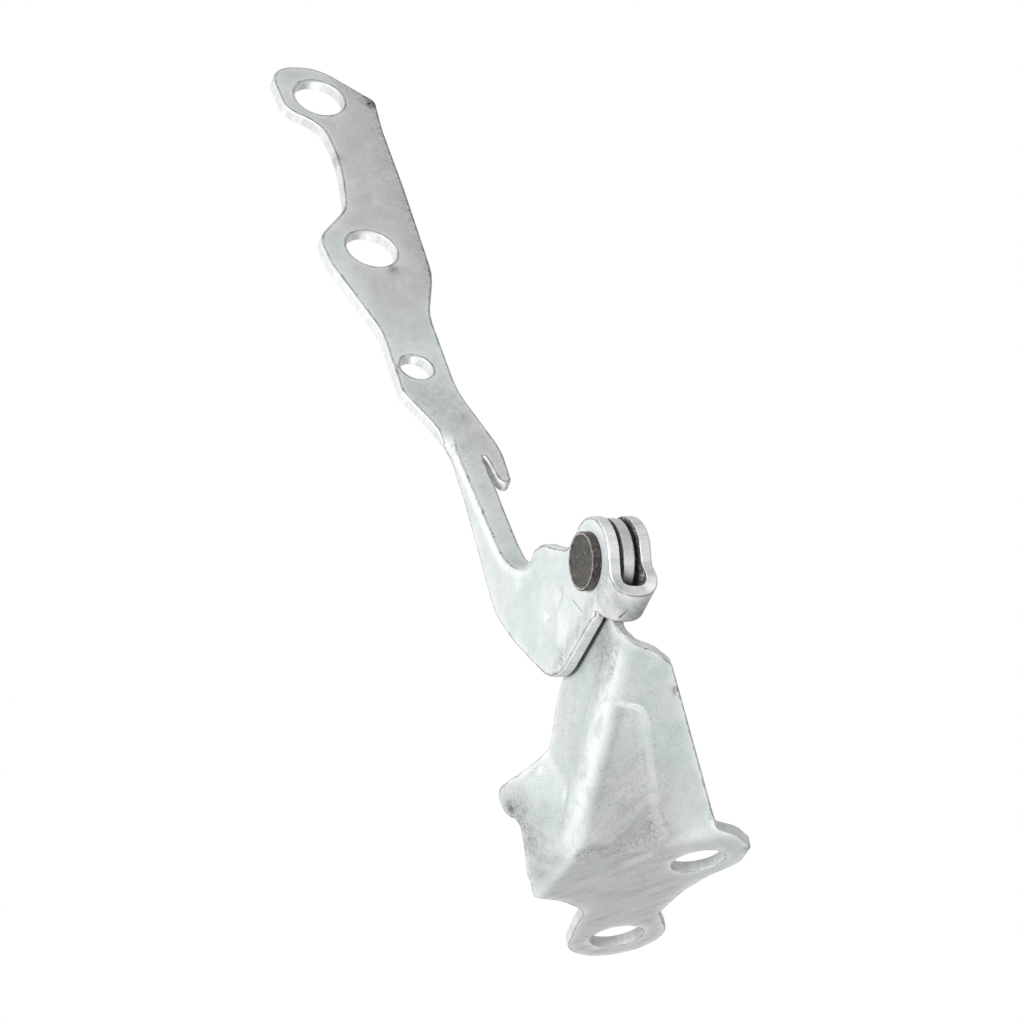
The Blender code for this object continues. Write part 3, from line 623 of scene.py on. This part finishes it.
def bracket_marks(blank, rim, inner):
    """Wear and dirt of the bracket: smudges on the ear, nicks on the right edge; painted shade in the pocket,
    on the side wall under the web and on the tongue, and a painted highlight along the ridge.
    """
    x, y = blank[:, 0] - WALL, blank[:, 1]
    wall = blank[:, 0] < 0.0
    # Painted shade: the pocket is darkened brown through the same mask as the stains.
    stain = 0.45 * smooth_step((x - 0.001) / 0.004) * smooth_step((y - 0.018) / 0.02)
    stain *= smooth_step((0.020 + 0.5 * (y - 0.02) - x) / 0.008)
    grime = forms(blank, WALL_DIRT, on_wall) + forms(blank, FOOT_DIRT, on_foot)
    # Painted shadow: the side wall's front part, under the web, is darkened through the same mask as the
    # dirt.
    grime += 0.45 * wall * smooth_step((0.022 - y) / 0.012) * smooth_step((y - 0.002) / 0.006)
    specks = smooth_step((0.0260 - np.abs(x - 0.002)) / 0.008) * smooth_step((y - 0.012) / 0.008)
    specks *= 1.0 - 0.6 * smooth_step((y - 0.060) / 0.010)
    worn = smooth_step((x - 0.001) / 0.005) * smooth_step((y - 0.020) / 0.015)
    worn *= smooth_step((0.017 + 0.5 * (y - 0.02) - x) / 0.009)
    worn += 0.8 * wall * smooth_step((y - 0.056) / 0.008) + 0.4 * wall * smooth_step((0.030 - y) / 0.012)
    # Painted shade on the tongue between the legs, away from its cut edge, through the same mask as the dirt.
    tongue = np.hypot(blank[:, 1], blank[:, 0] - float(ridge(np.array([0.0]))[0]))
    grime += smooth_step((0.0112 - tongue) / 0.0015) * smooth_step((rim - 0.0004) / 0.0008)
    # Painted highlight: a bright band along the ridge between the side wall and the ramp.
    crest = np.exp(-(blank[:, 0] / 0.0027)**2) * smooth_step((0.062 - y) / 0.010)
    shine = 1.1 * crest * smooth_step((y - 0.004) / 0.004)
    return {"stain": stain, "grime": grime, "specks": specks, "worn": worn, "shine": shine}


# Pieces

def linked(name, data):
    obj = bpy.data.objects.new(name, data)
    bpy.context.scene.collection.objects.link(obj)
    return obj


def inward(loop):
    """Direction into the sheet at each outline point, for a loop that runs anticlockwise round the sheet."""
    edge = np.roll(loop, -1, axis=0) - loop
    edge /= np.linalg.norm(edge, axis=1)[:, None]
    along = edge + np.roll(edge, 1, axis=0)
    along /= np.maximum(np.linalg.norm(along, axis=1)[:, None], 1e-9)
    return np.stack([-along[:, 1], along[:, 0]], axis=1)


def area(loop):
    following = np.roll(loop, -1, axis=0)
    return 0.5 * float(np.sum(loop[:, 0] * following[:, 1] - following[:, 0] * loop[:, 1]))


def probe(function, flat):
    """Slopes of a surface along both directions of the blank."""
    slope_u = function(flat + (OFFSET_PROBE, 0.0)) - function(flat - (OFFSET_PROBE, 0.0))
    slope_v = function(flat + (0.0, OFFSET_PROBE)) - function(flat - (0.0, OFFSET_PROBE))
    return slope_u, slope_v


def unit(vectors):
    return vectors / np.maximum(np.linalg.norm(vectors, axis=1)[:, None], 1e-12)


def rim_profile(faces, edges):
    """Steps (inset, offset, tilt) round a cut edge, from the high face to the low face."""
    (low, high), (low_edge, high_edge) = faces, edges
    quarter = np.linspace(0.0, math.pi / 2, 4)
    upper = [(high_edge * (1 - math.sin(t)), high - high_edge * (1 - math.cos(t)), t) for t in quarter]
    lower = [(low_edge * (1 - math.cos(t)), low + low_edge * (1 - math.sin(t)), math.pi / 2 + t)
             for t in quarter]
    return upper + lower


def sheet_piece(name, outer, holes, fine, rows, place, relief, marks, faces, edges):
    """A pressed sheet with rounded cut edges, its true surface normals, and its marks as named attributes."""
    def surface(flat, offset):
        slope_u, slope_v = probe(place, flat)
        return place(flat) + unit(np.cross(slope_u, slope_v)) * (offset + relief(flat))[:, None]

    loops = [follow(loop, place) for loop in [outer] + holes]
    loops = [loop if (area(loop) > 0) == (i == 0) else loop[::-1] for i, loop in enumerate(loops)]
    profile = rim_profile(faces, edges)
    inner = {inset: [loop + inward(loop) * inset for loop in loops] for inset, _, _ in profile}

    def filled(inset):
        rims = inner[inset]
        low, high = rims[0].min(axis=0), rims[0].max(axis=0)
        coarse, close = lattice(low, high, FIELD_STEP), lattice(low, high, FINE_STEP)
        field = np.concatenate([coarse[fine(coarse) == 0], close[fine(close) == 1], rows])
        room = RIM_SHARE * np.array([FIELD_STEP, FINE_STEP, ROW_STEP])[fine(field)]
        keep = inside(field, rims[0]) & (clearance(field, rims[0]) > room)
        for hole in rims[1:]:
            keep &= ~inside(field, hole) & (clearance(field, hole) > room)
        flat = np.concatenate(rims + [field[keep]])
        edges, start = [], 0
        for loop in rims:
            edges += [(start + k, start + (k + 1) % len(loop)) for k in range(len(loop))]
            start += len(loop)
        coords, _, triangles, _, _, _ = delaunay_2d_cdt([Vector(p) for p in flat], edges, [], 0, 1e-9)
        if len(coords) != len(flat):
            flat = np.array([tuple(p) for p in coords])
        triangles = np.array(triangles)
        middle = flat[triangles].mean(axis=1)
        solid = inside(middle, rims[0])
        for hole in rims[1:]:
            solid &= ~inside(middle, hole)
        return flat, triangles[solid]

    def shaped(flat, offset):
        """Surface points of a layer, their normals and both slopes."""
        offsets = np.full(len(flat), offset)
        slope_u, slope_v = probe(lambda p: surface(p, offsets), flat)
        return surface(flat, offsets), unit(np.cross(slope_u, slope_v)), slope_u, slope_v

    layers, polygons, ends, total = [], [], [], 0
    for inset, offset, tilt in (profile[0], profile[-1]):
        flat, triangles = filled(inset)
        is_high = tilt == 0.0
        points, normal, _, _ = shaped(flat, offset)
        from_border = np.minimum.reduce([clearance(flat, loop) for loop in inner[inset]])
        seam = np.clip(1.0 - from_border / EDGE_LINE, 0.0, 1.0)
        layers.append((points, normal if is_high else -normal, flat, np.zeros(len(flat)), seam,
                       np.full(len(flat), float(is_high))))
        turned_over = triangles if is_high else triangles[:, ::-1]
        polygons += [tuple(t) for t in (turned_over + total)]
        ends.append(total)
        total += len(flat)

    lengths = [len(loop) for loop in loops]
    flat_loops = np.concatenate(loops)
    direction = np.concatenate([inward(loop) for loop in loops])
    rings = [ends[0]]
    for inset, offset, tilt in profile[1:-1]:
        flat = flat_loops + direction * inset
        points, normal, slope_u, slope_v = shaped(flat, offset)
        outward = -unit(slope_u * direction[:, :1] + slope_v * direction[:, 1:])
        tilted = unit(math.cos(tilt) * normal + math.sin(tilt) * outward)
        layers.append((points, tilted, flat, np.ones(len(flat)), np.full(len(flat), abs(math.cos(tilt))),
                       np.zeros(len(flat))))
        rings.append(total)
        total += len(flat)
    rings.append(ends[1])
    for upper, lower in zip(rings, rings[1:]):
        start = 0
        for count in lengths:
            for k in range(count):
                a, b = start + k, start + (k + 1) % count
                polygons.append((upper + b, upper + a, lower + a, lower + b))
            start += count

    points, normals, flat, rim_share, seam, inner_side = (np.concatenate(part) for part in zip(*layers))
    mesh = bpy.data.meshes.new(name)
    mesh.from_pydata([tuple(p) for p in points + np.array(PIVOT)], [], polygons)
    mesh.shade_smooth()
    mesh.normals_split_custom_set_from_vertices([tuple(n) for n in normals])
    rim = np.minimum.reduce([clearance(flat, loop) for loop in loops])
    shares = dict(marks(flat, rim, inner_side), edge=seam, rub=np.exp(-rim / EDGE_RUB), rim=rim_share)
    for title, values in shares.items():
        attribute = mesh.attributes.new(title, "FLOAT", "POINT")
        attribute.data.foreach_set("value", np.clip(values, 0.0, 1.5).astype(np.float32))
    depth = np.concatenate([np.full(len(layer[0]), k) for k, layer in enumerate(layers)])
    blank = mesh.attributes.new("blank", "FLOAT_VECTOR", "POINT")
    spread = np.column_stack([flat, depth * LAYER_SHIFT])
    blank.data.foreach_set("vector", spread.astype(np.float32).ravel())
    return linked(name, mesh)


def build_arm():
    bore = SHANK_RADIUS + FIT
    holes = [circle(on_flange(*UPPER_HOLE), BONNET_HOLE), circle(on_flange(*MIDDLE_HOLE), BONNET_HOLE),
             circle(on_flange(*LOWER_HOLE), LOCATING_HOLE), circle((0.0, 0.0), bore),
             circle(on_strap(0.0, 2 * MIRROR_LINE), bore)]
    return sheet_piece("arm_pressing", rounded(arm_outline()), holes, arm_fine, arm_rows(), place_arm,
                       arm_relief, arm_marks, (-WALL, WALL), (ROLLED_EDGE, SHARP_EDGE))


def build_bracket():
    bore = SHANK_RADIUS + FIT + BUSH_WALL + FIT
    tongue_bore = [np.array(on_wall(y, z)[:2]) for y, z in circle((0.0, 0.0), bore)]
    holes = [tongue_bore, circle(on_foot(*FRONT_HOLE), FOOT_HOLE), circle(on_foot(*REAR_HOLE), FOOT_HOLE)]
    return sheet_piece("bracket_pressing", rounded(bracket_outline()), holes, bracket_fine,
                       np.empty((0, 2)), place_bracket, bracket_relief, bracket_marks, (0.0, SHEET),
                       (SHARP_EDGE, ROLLED_EDGE))


def turned(name, profile, uneven=None):
    """A solid turned about the pin axis from a profile of (along, radius), optionally hammered uneven."""
    bm = bmesh.new()
    rings = []
    for along, radius in profile:
        turns = [2 * math.pi * k / ROUND_SIDES for k in range(ROUND_SIDES)]
        ring = [Vector((along, radius * math.cos(t), radius * math.sin(t))) for t in turns]
        if uneven:
            ring = [p + uneven(p) for p in ring]
        ring = ring if radius > 0.0 else ring[:1]
        rings.append([bm.verts.new(PIVOT + p) for p in ring])
    closed = profile[0][1] > 0.0
    for first, second in list(zip(rings, rings[1:])) + ([(rings[-1], rings[0])] if closed else []):
        for k in range(ROUND_SIDES):
            following = (k + 1) % ROUND_SIDES
            if len(first) == 1:
                bm.faces.new((first[0], second[following], second[k]))
            elif len(second) == 1:
                bm.faces.new((first[k], first[following], second[0]))
            else:
                bm.faces.new((first[k], first[following], second[following], second[k]))
    bmesh.ops.recalc_face_normals(bm, faces=bm.faces)
    mesh = bpy.data.meshes.new(name)
    bm.to_mesh(mesh)
    bm.free()
    mesh.shade_smooth()
    mesh.set_sharp_from_angle(angle=math.radians(38.0))
    reach = mesh.attributes.new("reach", "FLOAT", "POINT")
    reach.data.foreach_set("value", [math.hypot(v.co.y - PIVOT.y, v.co.z - PIVOT.z) for v in mesh.vertices])
    return linked(name, mesh)


def corner_steps(centre, radius, first, last, steps=5):
    """Profile points (along, radius) round a turned corner, with angles in degrees."""
    turns = [math.radians(first + (last - first) * k / steps) for k in range(steps + 1)]
    return [(centre[0] + radius * math.cos(t), centre[1] + radius * math.sin(t)) for t in turns]


def build_rivet():
    seat = LEG + WALL + FIT
    face = seat + HEAD_THICKNESS
    end = seat + TAIL_THICKNESS
    lip = 0.00030
    dish = 0.00022
    head = [(-face + dish, HEAD_RADIUS * share) for share in np.linspace(0.0, 0.84, 22)]
    head += [(-face + dish * 0.5, HEAD_RADIUS * 0.885), (-face, HEAD_RADIUS * 0.925)]
    head += corner_steps((-face + lip, HEAD_RADIUS - lip), lip, 180.0, 90.0)
    head += [(-seat - HEAD_THICKNESS * 0.45, HEAD_RADIUS * 0.985), (-seat - lip, HEAD_RADIUS),
             (-seat, HEAD_RADIUS - lip)]
    shank = [(-seat, SHANK_RADIUS), (seat, SHANK_RADIUS)]
    tail = [(seat, TAIL_RADIUS), (seat + TAIL_THICKNESS * 0.45, TAIL_RADIUS)]
    tail += [(seat + TAIL_THICKNESS * (0.45 + 0.55 * math.sin(t)), TAIL_RADIUS * (0.72 + 0.28 * math.cos(t)))
             for t in np.linspace(0.3, math.pi / 2, 5)]
    tail += [(end - dish * (1 - share), TAIL_RADIUS * 0.72 * share) for share in np.linspace(0.8, 0.0, 8)]

    def hammered(p):
        depth = 0.00004 * (math.sin(p.y * 2900 + 1.0) * math.sin(p.z * 2300) + math.sin((p.y - p.z) * 1500))
        out = max(0.0, abs(p.x) - seat) / HEAD_THICKNESS
        return Vector((math.copysign(min(out * 3, 1.0) * abs(depth), -p.x), 0.0, 0.0))

    return turned("rivet_dressed", head + shank + tail, hammered)


def build_bush(name, side):
    inner = SHANK_RADIUS + FIT
    outer = inner + BUSH_WALL
    seat = WALL + FIT
    rim = WALL + SIDE_GAP - FIT
    round_off = 0.00015
    profile = [(FIT / 2, inner), (rim, inner), (rim, BUSH_FLANGE_RADIUS - round_off),
               (rim - round_off, BUSH_FLANGE_RADIUS), (seat + round_off, BUSH_FLANGE_RADIUS),
               (seat, BUSH_FLANGE_RADIUS - round_off), (seat, outer), (FIT / 2, outer)]
    return turned(name, [(side * along, radius) for along, radius in profile])


# Materials

class Graph:
    """A material's nodes, added one by one: an input given as a socket is linked, any other value is set."""

    def __init__(self, name):
        self.material = bpy.data.materials.new(name)
        self.material.use_nodes = True
        self.nodes = self.material.node_tree.nodes
        self.links = self.material.node_tree.links
        self.shader = self.nodes["Principled BSDF"]
        self.place = self.add("TexCoord").outputs["Object"]

    def add(self, kind, inputs=None, **settings):
        node = self.nodes.new("ShaderNode" + kind)
        for title, value in settings.items():
            setattr(node, title, value)
        self.fill(node, inputs or {})
        return node

    def fill(self, node, inputs):
        for title, value in inputs.items():
            if isinstance(value, bpy.types.NodeSocket):
                self.links.new(value, node.inputs[title])
            else:
                node.inputs[title].default_value = value

    def math(self, operation, first, second=0.0, clamp=False):
        node = self.add("Math", {0: first, 1: second}, operation=operation, use_clamp=clamp)
        return node.outputs[0]

    def times(self, first, second, clamp=False):
        return self.math("MULTIPLY", first, second, clamp)

    def plus(self, first, second, clamp=False):
        return self.math("ADD", first, second, clamp)

    def less(self, first, second, clamp=False):
        return self.math("SUBTRACT", first, second, clamp)

    def attribute(self, title, output="Fac"):
        return self.add("Attribute", attribute_name=title).outputs[output]

    def noise(self, scale, detail=4.0, roughness=0.55, place=None, distortion=0.0):
        inputs = {"Vector": place or self.place, "Scale": scale, "Detail": detail, "Roughness": roughness,
                  "Distortion": distortion}
        return self.add("TexNoise", inputs).outputs["Fac"]

    def stretched(self, place, turn, scale):
        """Coordinates turned and stretched, for marks that run one way."""
        turned = self.add("Mapping", {"Vector": place, "Rotation": (0.0, 0.0, turn)}).outputs[0]
        return self.add("Mapping", {"Vector": turned, "Scale": scale}).outputs[0]

    def ramp(self, value, low, high, to_low=0.0, to_high=1.0):
        inputs = {"Value": value, "From Min": low, "From Max": high, "To Min": to_low, "To Max": to_high}
        return self.add("MapRange", inputs, interpolation_type="SMOOTHSTEP").outputs[0]

    def mix(self, share, first, second):
        node = self.add("Mix", data_type="RGBA")
        self.fill(node, {0: share, 6: first, 7: second})
        return node.outputs[2]

    def bump(self, height, distance, before=None, strength=1.0):
        inputs = {"Height": height, "Distance": distance, "Strength": strength}
        if before:
            inputs["Normal"] = before
        return self.add("Bump", inputs).outputs[0]

    def scratches(self, flat, turn, fine, long, low, patch):
        """Thin marks that run about one way over a blank, in patches, from nought to one."""
        lines = self.noise(1.0, 2.0, 0.5, place=self.stretched(flat, turn, (long, fine, 1.0)))
        where = self.ramp(self.noise(patch, 2.0, 0.5, place=flat), 0.42, 0.62)
        return self.times(self.ramp(lines, low, low + 0.07), where)

    def stroke(self, start, end, width):
        """One where a surface lies within a thin straight mark between two places, nought elsewhere."""
        start, end = Vector(start) + PIVOT, Vector(end) + PIVOT
        along = end - start
        from_start = self.add("VectorMath", {0: self.place, 1: start}, operation="SUBTRACT").outputs[0]
        reach = self.add("VectorMath", {0: from_start, 1: along / along.length_squared},
                         operation="DOT_PRODUCT").outputs["Value"]
        share = self.times(reach, 1.0, clamp=True)
        nearest = self.add("VectorMath", {0: along, "Scale": share}, operation="SCALE").outputs[0]
        distance = self.add("VectorMath", {0: from_start, 1: nearest}, operation="DISTANCE").outputs["Value"]
        return self.ramp(distance, width * 0.4, width, 1.0, 0.0)


def grey(level, warm=0.0):
    return (level * (1 + warm), level, level * (1 - warm), 1.0)


ZINC_COOL = (0.585, 0.665, 0.655)
ZINC_PALE = (0.720, 0.755, 0.755)
ZINC_LILAC = (0.650, 0.640, 0.660, 1.0)
ZINC_BROWN = (0.545, 0.515, 0.500, 1.0)
SOOT = (0.045, 0.045, 0.048, 1.0)


def zinc_plate(name, level, grain_turn, strokes):
    """Worn zinc plate: cloudy tone, rolled grain, crossing scratches, grit, smudges and dark cut edges, with
    painted highlights and a painted dark line at bends and painted shade in hollows, under the web and
    between parts.
    """
    g = Graph(name)
    flat = g.attribute("blank", "Vector")
    clouds = g.noise(60.0, 5.0, 0.62, place=flat)
    blotches = g.noise(230.0, 5.0, 0.66, place=flat, distortion=0.8)
    crinkle = g.noise(820.0, 5.0, 0.68, place=flat, distortion=1.6)
    grit = g.noise(2600.0, 3.0, 0.7, place=flat)
    grain = g.noise(1.0, 3.0, 0.6, place=g.stretched(flat, grain_turn, (110.0, 2600.0, 1.0)))
    hair = g.scratches(flat, 0.9, 4200.0, 150.0, 0.60, 70.0)
    nicks = g.scratches(flat, -0.5, 3600.0, 210.0, 0.62, 95.0)
    scrapes = g.scratches(flat, 2.2, 2600.0, 130.0, 0.63, 55.0)
    worn = g.attribute("worn")

    cool = tuple(c * level for c in ZINC_COOL) + (1.0,)
    pale = tuple(c * level for c in ZINC_PALE) + (1.0,)
    tone = g.mix(g.ramp(clouds, 0.36, 0.64), cool, pale)
    tone = g.mix(g.ramp(blotches, 0.46, 0.74, 0.0, 0.40), tone, ZINC_LILAC)
    tone = g.mix(g.ramp(crinkle, 0.28, 0.50, 0.30, 0.0), tone, grey(0.38 * level))
    tone = g.mix(g.ramp(grain, 0.44, 0.70, 0.0, 0.12), tone, grey(0.42 * level))
    tone = g.mix(g.ramp(grit, 0.54, 0.76, 0.0, 0.26), tone, grey(0.33 * level))
    tone = g.mix(g.times(nicks, 0.45), tone, grey(0.92))
    tone = g.mix(g.times(hair, 0.50), tone, grey(0.30))
    rubbing = g.times(worn, g.ramp(crinkle, 0.62, 0.40, 0.25, 1.0), clamp=True)
    tone = g.mix(g.times(rubbing, 0.42), tone, grey(0.30))
    scraped = g.times(scrapes, g.plus(g.times(worn, 0.6), 0.18))
    tone = g.mix(scraped, tone, grey(0.16))

    # Brown smudges, and the bracket's pocket in painted shade, from the stain mask.
    smudge_and_pocket_shade = g.times(g.attribute("stain"), g.ramp(blotches, 0.25, 0.62, 0.35, 1.0), clamp=True)
    tone = g.mix(smudge_and_pocket_shade, tone, ZINC_BROWN)
    pepper = g.ramp(g.noise(1900.0, 2.0, 0.6, place=flat), 0.63, 0.70)
    peppered = g.times(g.attribute("specks"), pepper)
    tone = g.mix(g.times(peppered, 0.55, clamp=True), tone, grey(0.14))

    # Painted highlight at bends, joined with the lighter rubbed band along cut edges; both are also made less
    # rough.
    bright = g.math("MAXIMUM", g.attribute("rub"), g.attribute("shine"))
    rubbed_edge_and_highlight = g.times(bright, g.ramp(blotches, 0.26, 0.56, 0.25, 1.0), clamp=True)
    tone = g.mix(g.times(rubbed_edge_and_highlight, 0.70), tone, grey(0.92))
    ragged = g.plus(g.attribute("edge"), g.ramp(crinkle, 0.30, 0.70, 0.10, -0.22))
    line = g.times(g.ramp(ragged, 0.66, 0.90), g.ramp(blotches, 0.30, 0.62, 0.95, 0.35), clamp=True)
    tone = g.mix(line, tone, grey(0.09))
    # Painted shade: a thin black line beside the arm's bent corner.
    off_crest = g.plus(g.attribute("crest"), g.ramp(crinkle, 0.30, 0.70, 0.02, -0.02))
    off_crest = g.math("ABSOLUTE", g.less(off_crest, 0.55))
    painted_corner_shade = g.times(g.ramp(off_crest, 0.014, 0.036, 1.0, 0.0), g.attribute("crest_share"))
    painted_corner_shade = g.times(painted_corner_shade, g.ramp(blotches, 0.36, 0.56, 0.95, 0.30), clamp=True)
    tone = g.mix(painted_corner_shade, tone, grey(0.10))
    # Painted shade: soft dark diagonal bands over the worn places, standing in for the shading of a wavy
    # surface.
    bands = g.noise(1.0, 4.0, 0.62, place=g.stretched(flat, 0.85, (60.0, 330.0, 1.0)))
    banded = g.times(g.ramp(bands, 0.46, 0.66, 0.0, 0.26), worn, clamp=True)
    tone = g.mix(banded, tone, grey(0.24, 0.03))
    cut = g.times(g.attribute("rim"), g.ramp(crinkle, 0.36, 0.62, 0.0, 0.38), clamp=True)
    tone = g.mix(cut, tone, grey(0.46))
    # Dirt, and painted shade on the clevis legs, the tongue and the wall under the web, from one mask; it
    # also roughens and lowers the metal share.
    dirt_and_shade_share = g.times(g.attribute("grime"), g.ramp(crinkle, 0.62, 0.36, 0.35, 1.25), clamp=True)
    tone = g.mix(dirt_and_shade_share, tone, SOOT)
    for start, end, width, depth in strokes:
        mark = g.times(g.stroke(start, end, width), g.ramp(grit, 0.35, 0.60, 0.45 * depth, depth))
        tone = g.mix(mark, tone, grey(0.08))

    rough = g.ramp(blotches, 0.30, 0.70, 0.36, 0.54)
    rough = g.plus(rough, g.ramp(grain, 0.30, 0.70, -0.05, 0.06))
    rough = g.plus(rough, g.times(worn, 0.10))
    rough = g.less(rough, g.times(rubbed_edge_and_highlight, 0.12))
    rough = g.plus(rough, g.times(g.attribute("stain"), 0.14))
    rough = g.plus(rough, g.times(dirt_and_shade_share, 0.20), clamp=True)

    dents = g.bump(g.noise(150.0, 3.0, 0.5, place=flat), 0.00030, strength=0.5)
    ripple = g.bump(crinkle, 0.00012, dents, 0.55)
    lines = g.bump(g.less(grain, g.plus(hair, nicks)), 0.00003, ripple, 0.6)
    fine = g.bump(grit, 0.00004, lines, 0.5)
    clear_of_dirt_and_shade = g.less(1.0, dirt_and_shade_share, clamp=True)
    g.fill(g.shader, {"Base Color": tone, "Roughness": rough, "Metallic": g.times(clear_of_dirt_and_shade, 0.28),
                      "Normal": fine})
    return g.material


def rivet_steel():
    """Dark, oily steel with brown and black patches and bright rubbed corners."""
    g = Graph("rivet_steel_worn")
    patches = g.noise(380.0, 6.0, 0.70, distortion=1.4)
    pits = g.noise(1500.0, 4.0, 0.7)
    flecks = g.noise(1.0, 4.0, 0.65, place=g.stretched(g.place, 0.0, (900.0, 900.0, 2600.0)))
    tone = g.mix(g.ramp(patches, 0.42, 0.60), (0.012, 0.010, 0.009, 1.0), (0.078, 0.070, 0.060, 1.0))
    tone = g.mix(g.ramp(pits, 0.46, 0.62, 0.0, 0.90), tone, (0.008, 0.007, 0.006, 1.0))
    tone = g.mix(g.ramp(flecks, 0.56, 0.68, 0.0, 0.45), tone, (0.30, 0.28, 0.25, 1.0))
    ragged = g.plus(g.attribute("reach"), g.ramp(pits, 0.30, 0.70, -0.00012, 0.00012))
    off = g.math("ABSOLUTE", g.less(ragged, HEAD_RADIUS * 0.935))
    worn = g.times(g.ramp(off, 0.00008, 0.00030, 1.0, 0.0), g.ramp(patches, 0.36, 0.56, 0.25, 1.0))
    tone = g.mix(worn, tone, (0.42, 0.40, 0.37, 1.0))
    rough = g.ramp(patches, 0.30, 0.70, 0.34, 0.60)
    dents = g.bump(patches, 0.00010, strength=0.6)
    fine = g.bump(pits, 0.00003, dents, 0.6)
    g.fill(g.shader, {"Base Color": tone, "Roughness": rough, "Metallic": 0.10, "Normal": fine})
    return g.material


def bush_bronze():
    """Dull brown bearing metal with a turned grain."""
    g = Graph("bush_bronze_dull")
    patches = g.noise(600.0, 4.0, 0.6)
    turning = g.noise(1.0, 2.0, 0.5, place=g.stretched(g.place, 0.0, (9000.0, 500.0, 500.0)))
    tone = g.mix(g.ramp(patches, 0.35, 0.65), (0.085, 0.062, 0.045, 1.0), (0.200, 0.150, 0.105, 1.0))
    tone = g.mix(g.ramp(turning, 0.55, 0.75, 0.0, 0.5), tone, (0.30, 0.24, 0.18, 1.0))
    rough = g.ramp(patches, 0.30, 0.70, 0.42, 0.66)
    fine = g.bump(turning, 0.00003, strength=0.5)
    g.fill(g.shader, {"Base Color": tone, "Roughness": rough, "Metallic": 0.60, "Normal": fine})
    return g.material


def pale_floor():
    g = Graph("pale_floor")
    tone = g.mix(g.ramp(g.noise(6.0, 3.0, 0.5), 0.3, 0.7), grey(0.86), grey(0.88))
    g.fill(g.shader, {"Base Color": tone, "Roughness": 0.8})
    return g.material


# Studio

def build_camera():
    up = CAMERA_UP.normalized()
    right = (CAMERA_RIGHT - up * CAMERA_RIGHT.dot(up)).normalized()
    back = right.cross(up)
    across = (PIVOT_PIXEL[0] - IMAGE_SIZE / 2) / FOCAL_PIXELS * CAMERA_DISTANCE
    above = (IMAGE_SIZE / 2 - PIVOT_PIXEL[1]) / FOCAL_PIXELS * CAMERA_DISTANCE
    place = PIVOT + back * CAMERA_DISTANCE - right * across - up * above
    data = bpy.data.cameras.new("camera")
    data.sensor_width = SENSOR_WIDTH
    data.lens = FOCAL_PIXELS / IMAGE_SIZE * SENSOR_WIDTH
    data.clip_start = 0.05
    data.clip_end = 20.0
    camera = linked("camera", data)
    turn = Matrix((right, up, back)).transposed().to_4x4()
    camera.matrix_world = Matrix.Translation(place) @ turn
    bpy.context.scene.camera = camera
    return right, up, back


def add_lamp(name, direction, distance, size, power):
    """A soft square lamp that looks at the hinge from a direction."""
    centre = (cad_box[0] + cad_box[1]) / 2
    data = bpy.data.lights.new(name, "AREA")
    data.size = size
    data.energy = power
    lamp = linked(name, data)
    lamp.location = centre + direction.normalized() * distance
    lamp.rotation_euler = direction.to_track_quat("Z", "Y").to_euler()


def build_world():
    world = bpy.data.worlds.new("studio")
    world.use_nodes = True
    nodes, links = world.node_tree.nodes, world.node_tree.links
    nodes.clear()
    path = nodes.new("ShaderNodeLightPath")
    seen = path.outputs["Is Camera Ray"]
    for title in ("Is Glossy Ray", "Is Transmission Ray"):
        either = nodes.new("ShaderNodeMath")
        either.operation = "MAXIMUM"
        links.new(seen, either.inputs[0])
        links.new(path.outputs[title], either.inputs[1])
        seen = either.outputs[0]
    mix = nodes.new("ShaderNodeMixShader")
    links.new(seen, mix.inputs[0])
    for slot, colour, strength in ((1, WORLD_LIGHT, WORLD_STRENGTH), (2, WHITE, 1.0)):
        background = nodes.new("ShaderNodeBackground")
        background.inputs["Color"].default_value = colour
        background.inputs["Strength"].default_value = strength
        links.new(background.outputs[0], mix.inputs[slot])
    output = nodes.new("ShaderNodeOutputWorld")
    links.new(mix.outputs[0], output.inputs["Surface"])
    bpy.context.scene.world = world


def build_floor():
    mesh = bpy.data.meshes.new("floor")
    signs = ((-1, -1), (1, -1), (1, 1), (-1, 1))
    corners = [(x * FLOOR_HALF, y * FLOOR_HALF, FLOOR_HEIGHT) for x, y in signs]
    mesh.from_pydata(corners, [], [(0, 1, 2, 3)])
    mesh.materials.append(pale_floor())
    floor = linked("floor", mesh)


def dress(piece, body, node, mat):
    piece.data.materials.append(mat)
    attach(piece, body)
    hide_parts(node)


STRAP_STROKES = [((0.0012, -0.0064, -0.0130), (-0.0008, 0.0004, -0.0150), 0.00040, 1.0)]
WEB_STROKES = [((-0.0059, 0.0131, -0.0042), (-0.0059, 0.0096, -0.0091), 0.00022, 0.8)]

build_world()
right, up, back = build_camera()
add_lamp("key", -right * 0.565 + up * 0.05 + back * 0.816, distance=1.3, size=0.5, power=19.5)
add_lamp("under", Vector((0.1, 0.45, -0.85)), distance=0.85, size=0.5, power=2.5)
add_lamp("fill", back + right * 0.4 + up * 0.2, distance=1.6, size=1.0, power=3.0)
build_floor()

dress(build_arm(), "arm", "bonnet_arm",
      zinc_plate("zinc_plate_arm", 1.0, 1.25, STRAP_STROKES + WEB_STROKES))
dress(build_bracket(), "bracket", "body_bracket",
      zinc_plate("zinc_plate_bracket", 0.84, 0.65, []))
dress(build_rivet(), "arm", "pivot_rivet", rivet_steel())
bronze = bush_bronze()
dress(build_bush("bush_head_dressed", -1), "bracket", "bush_head_side", bronze)
dress(build_bush("bush_tail_dressed", 1), "bracket", "bush_tail_side", bronze)

bpy.context.scene.view_settings.view_transform = "Standard"
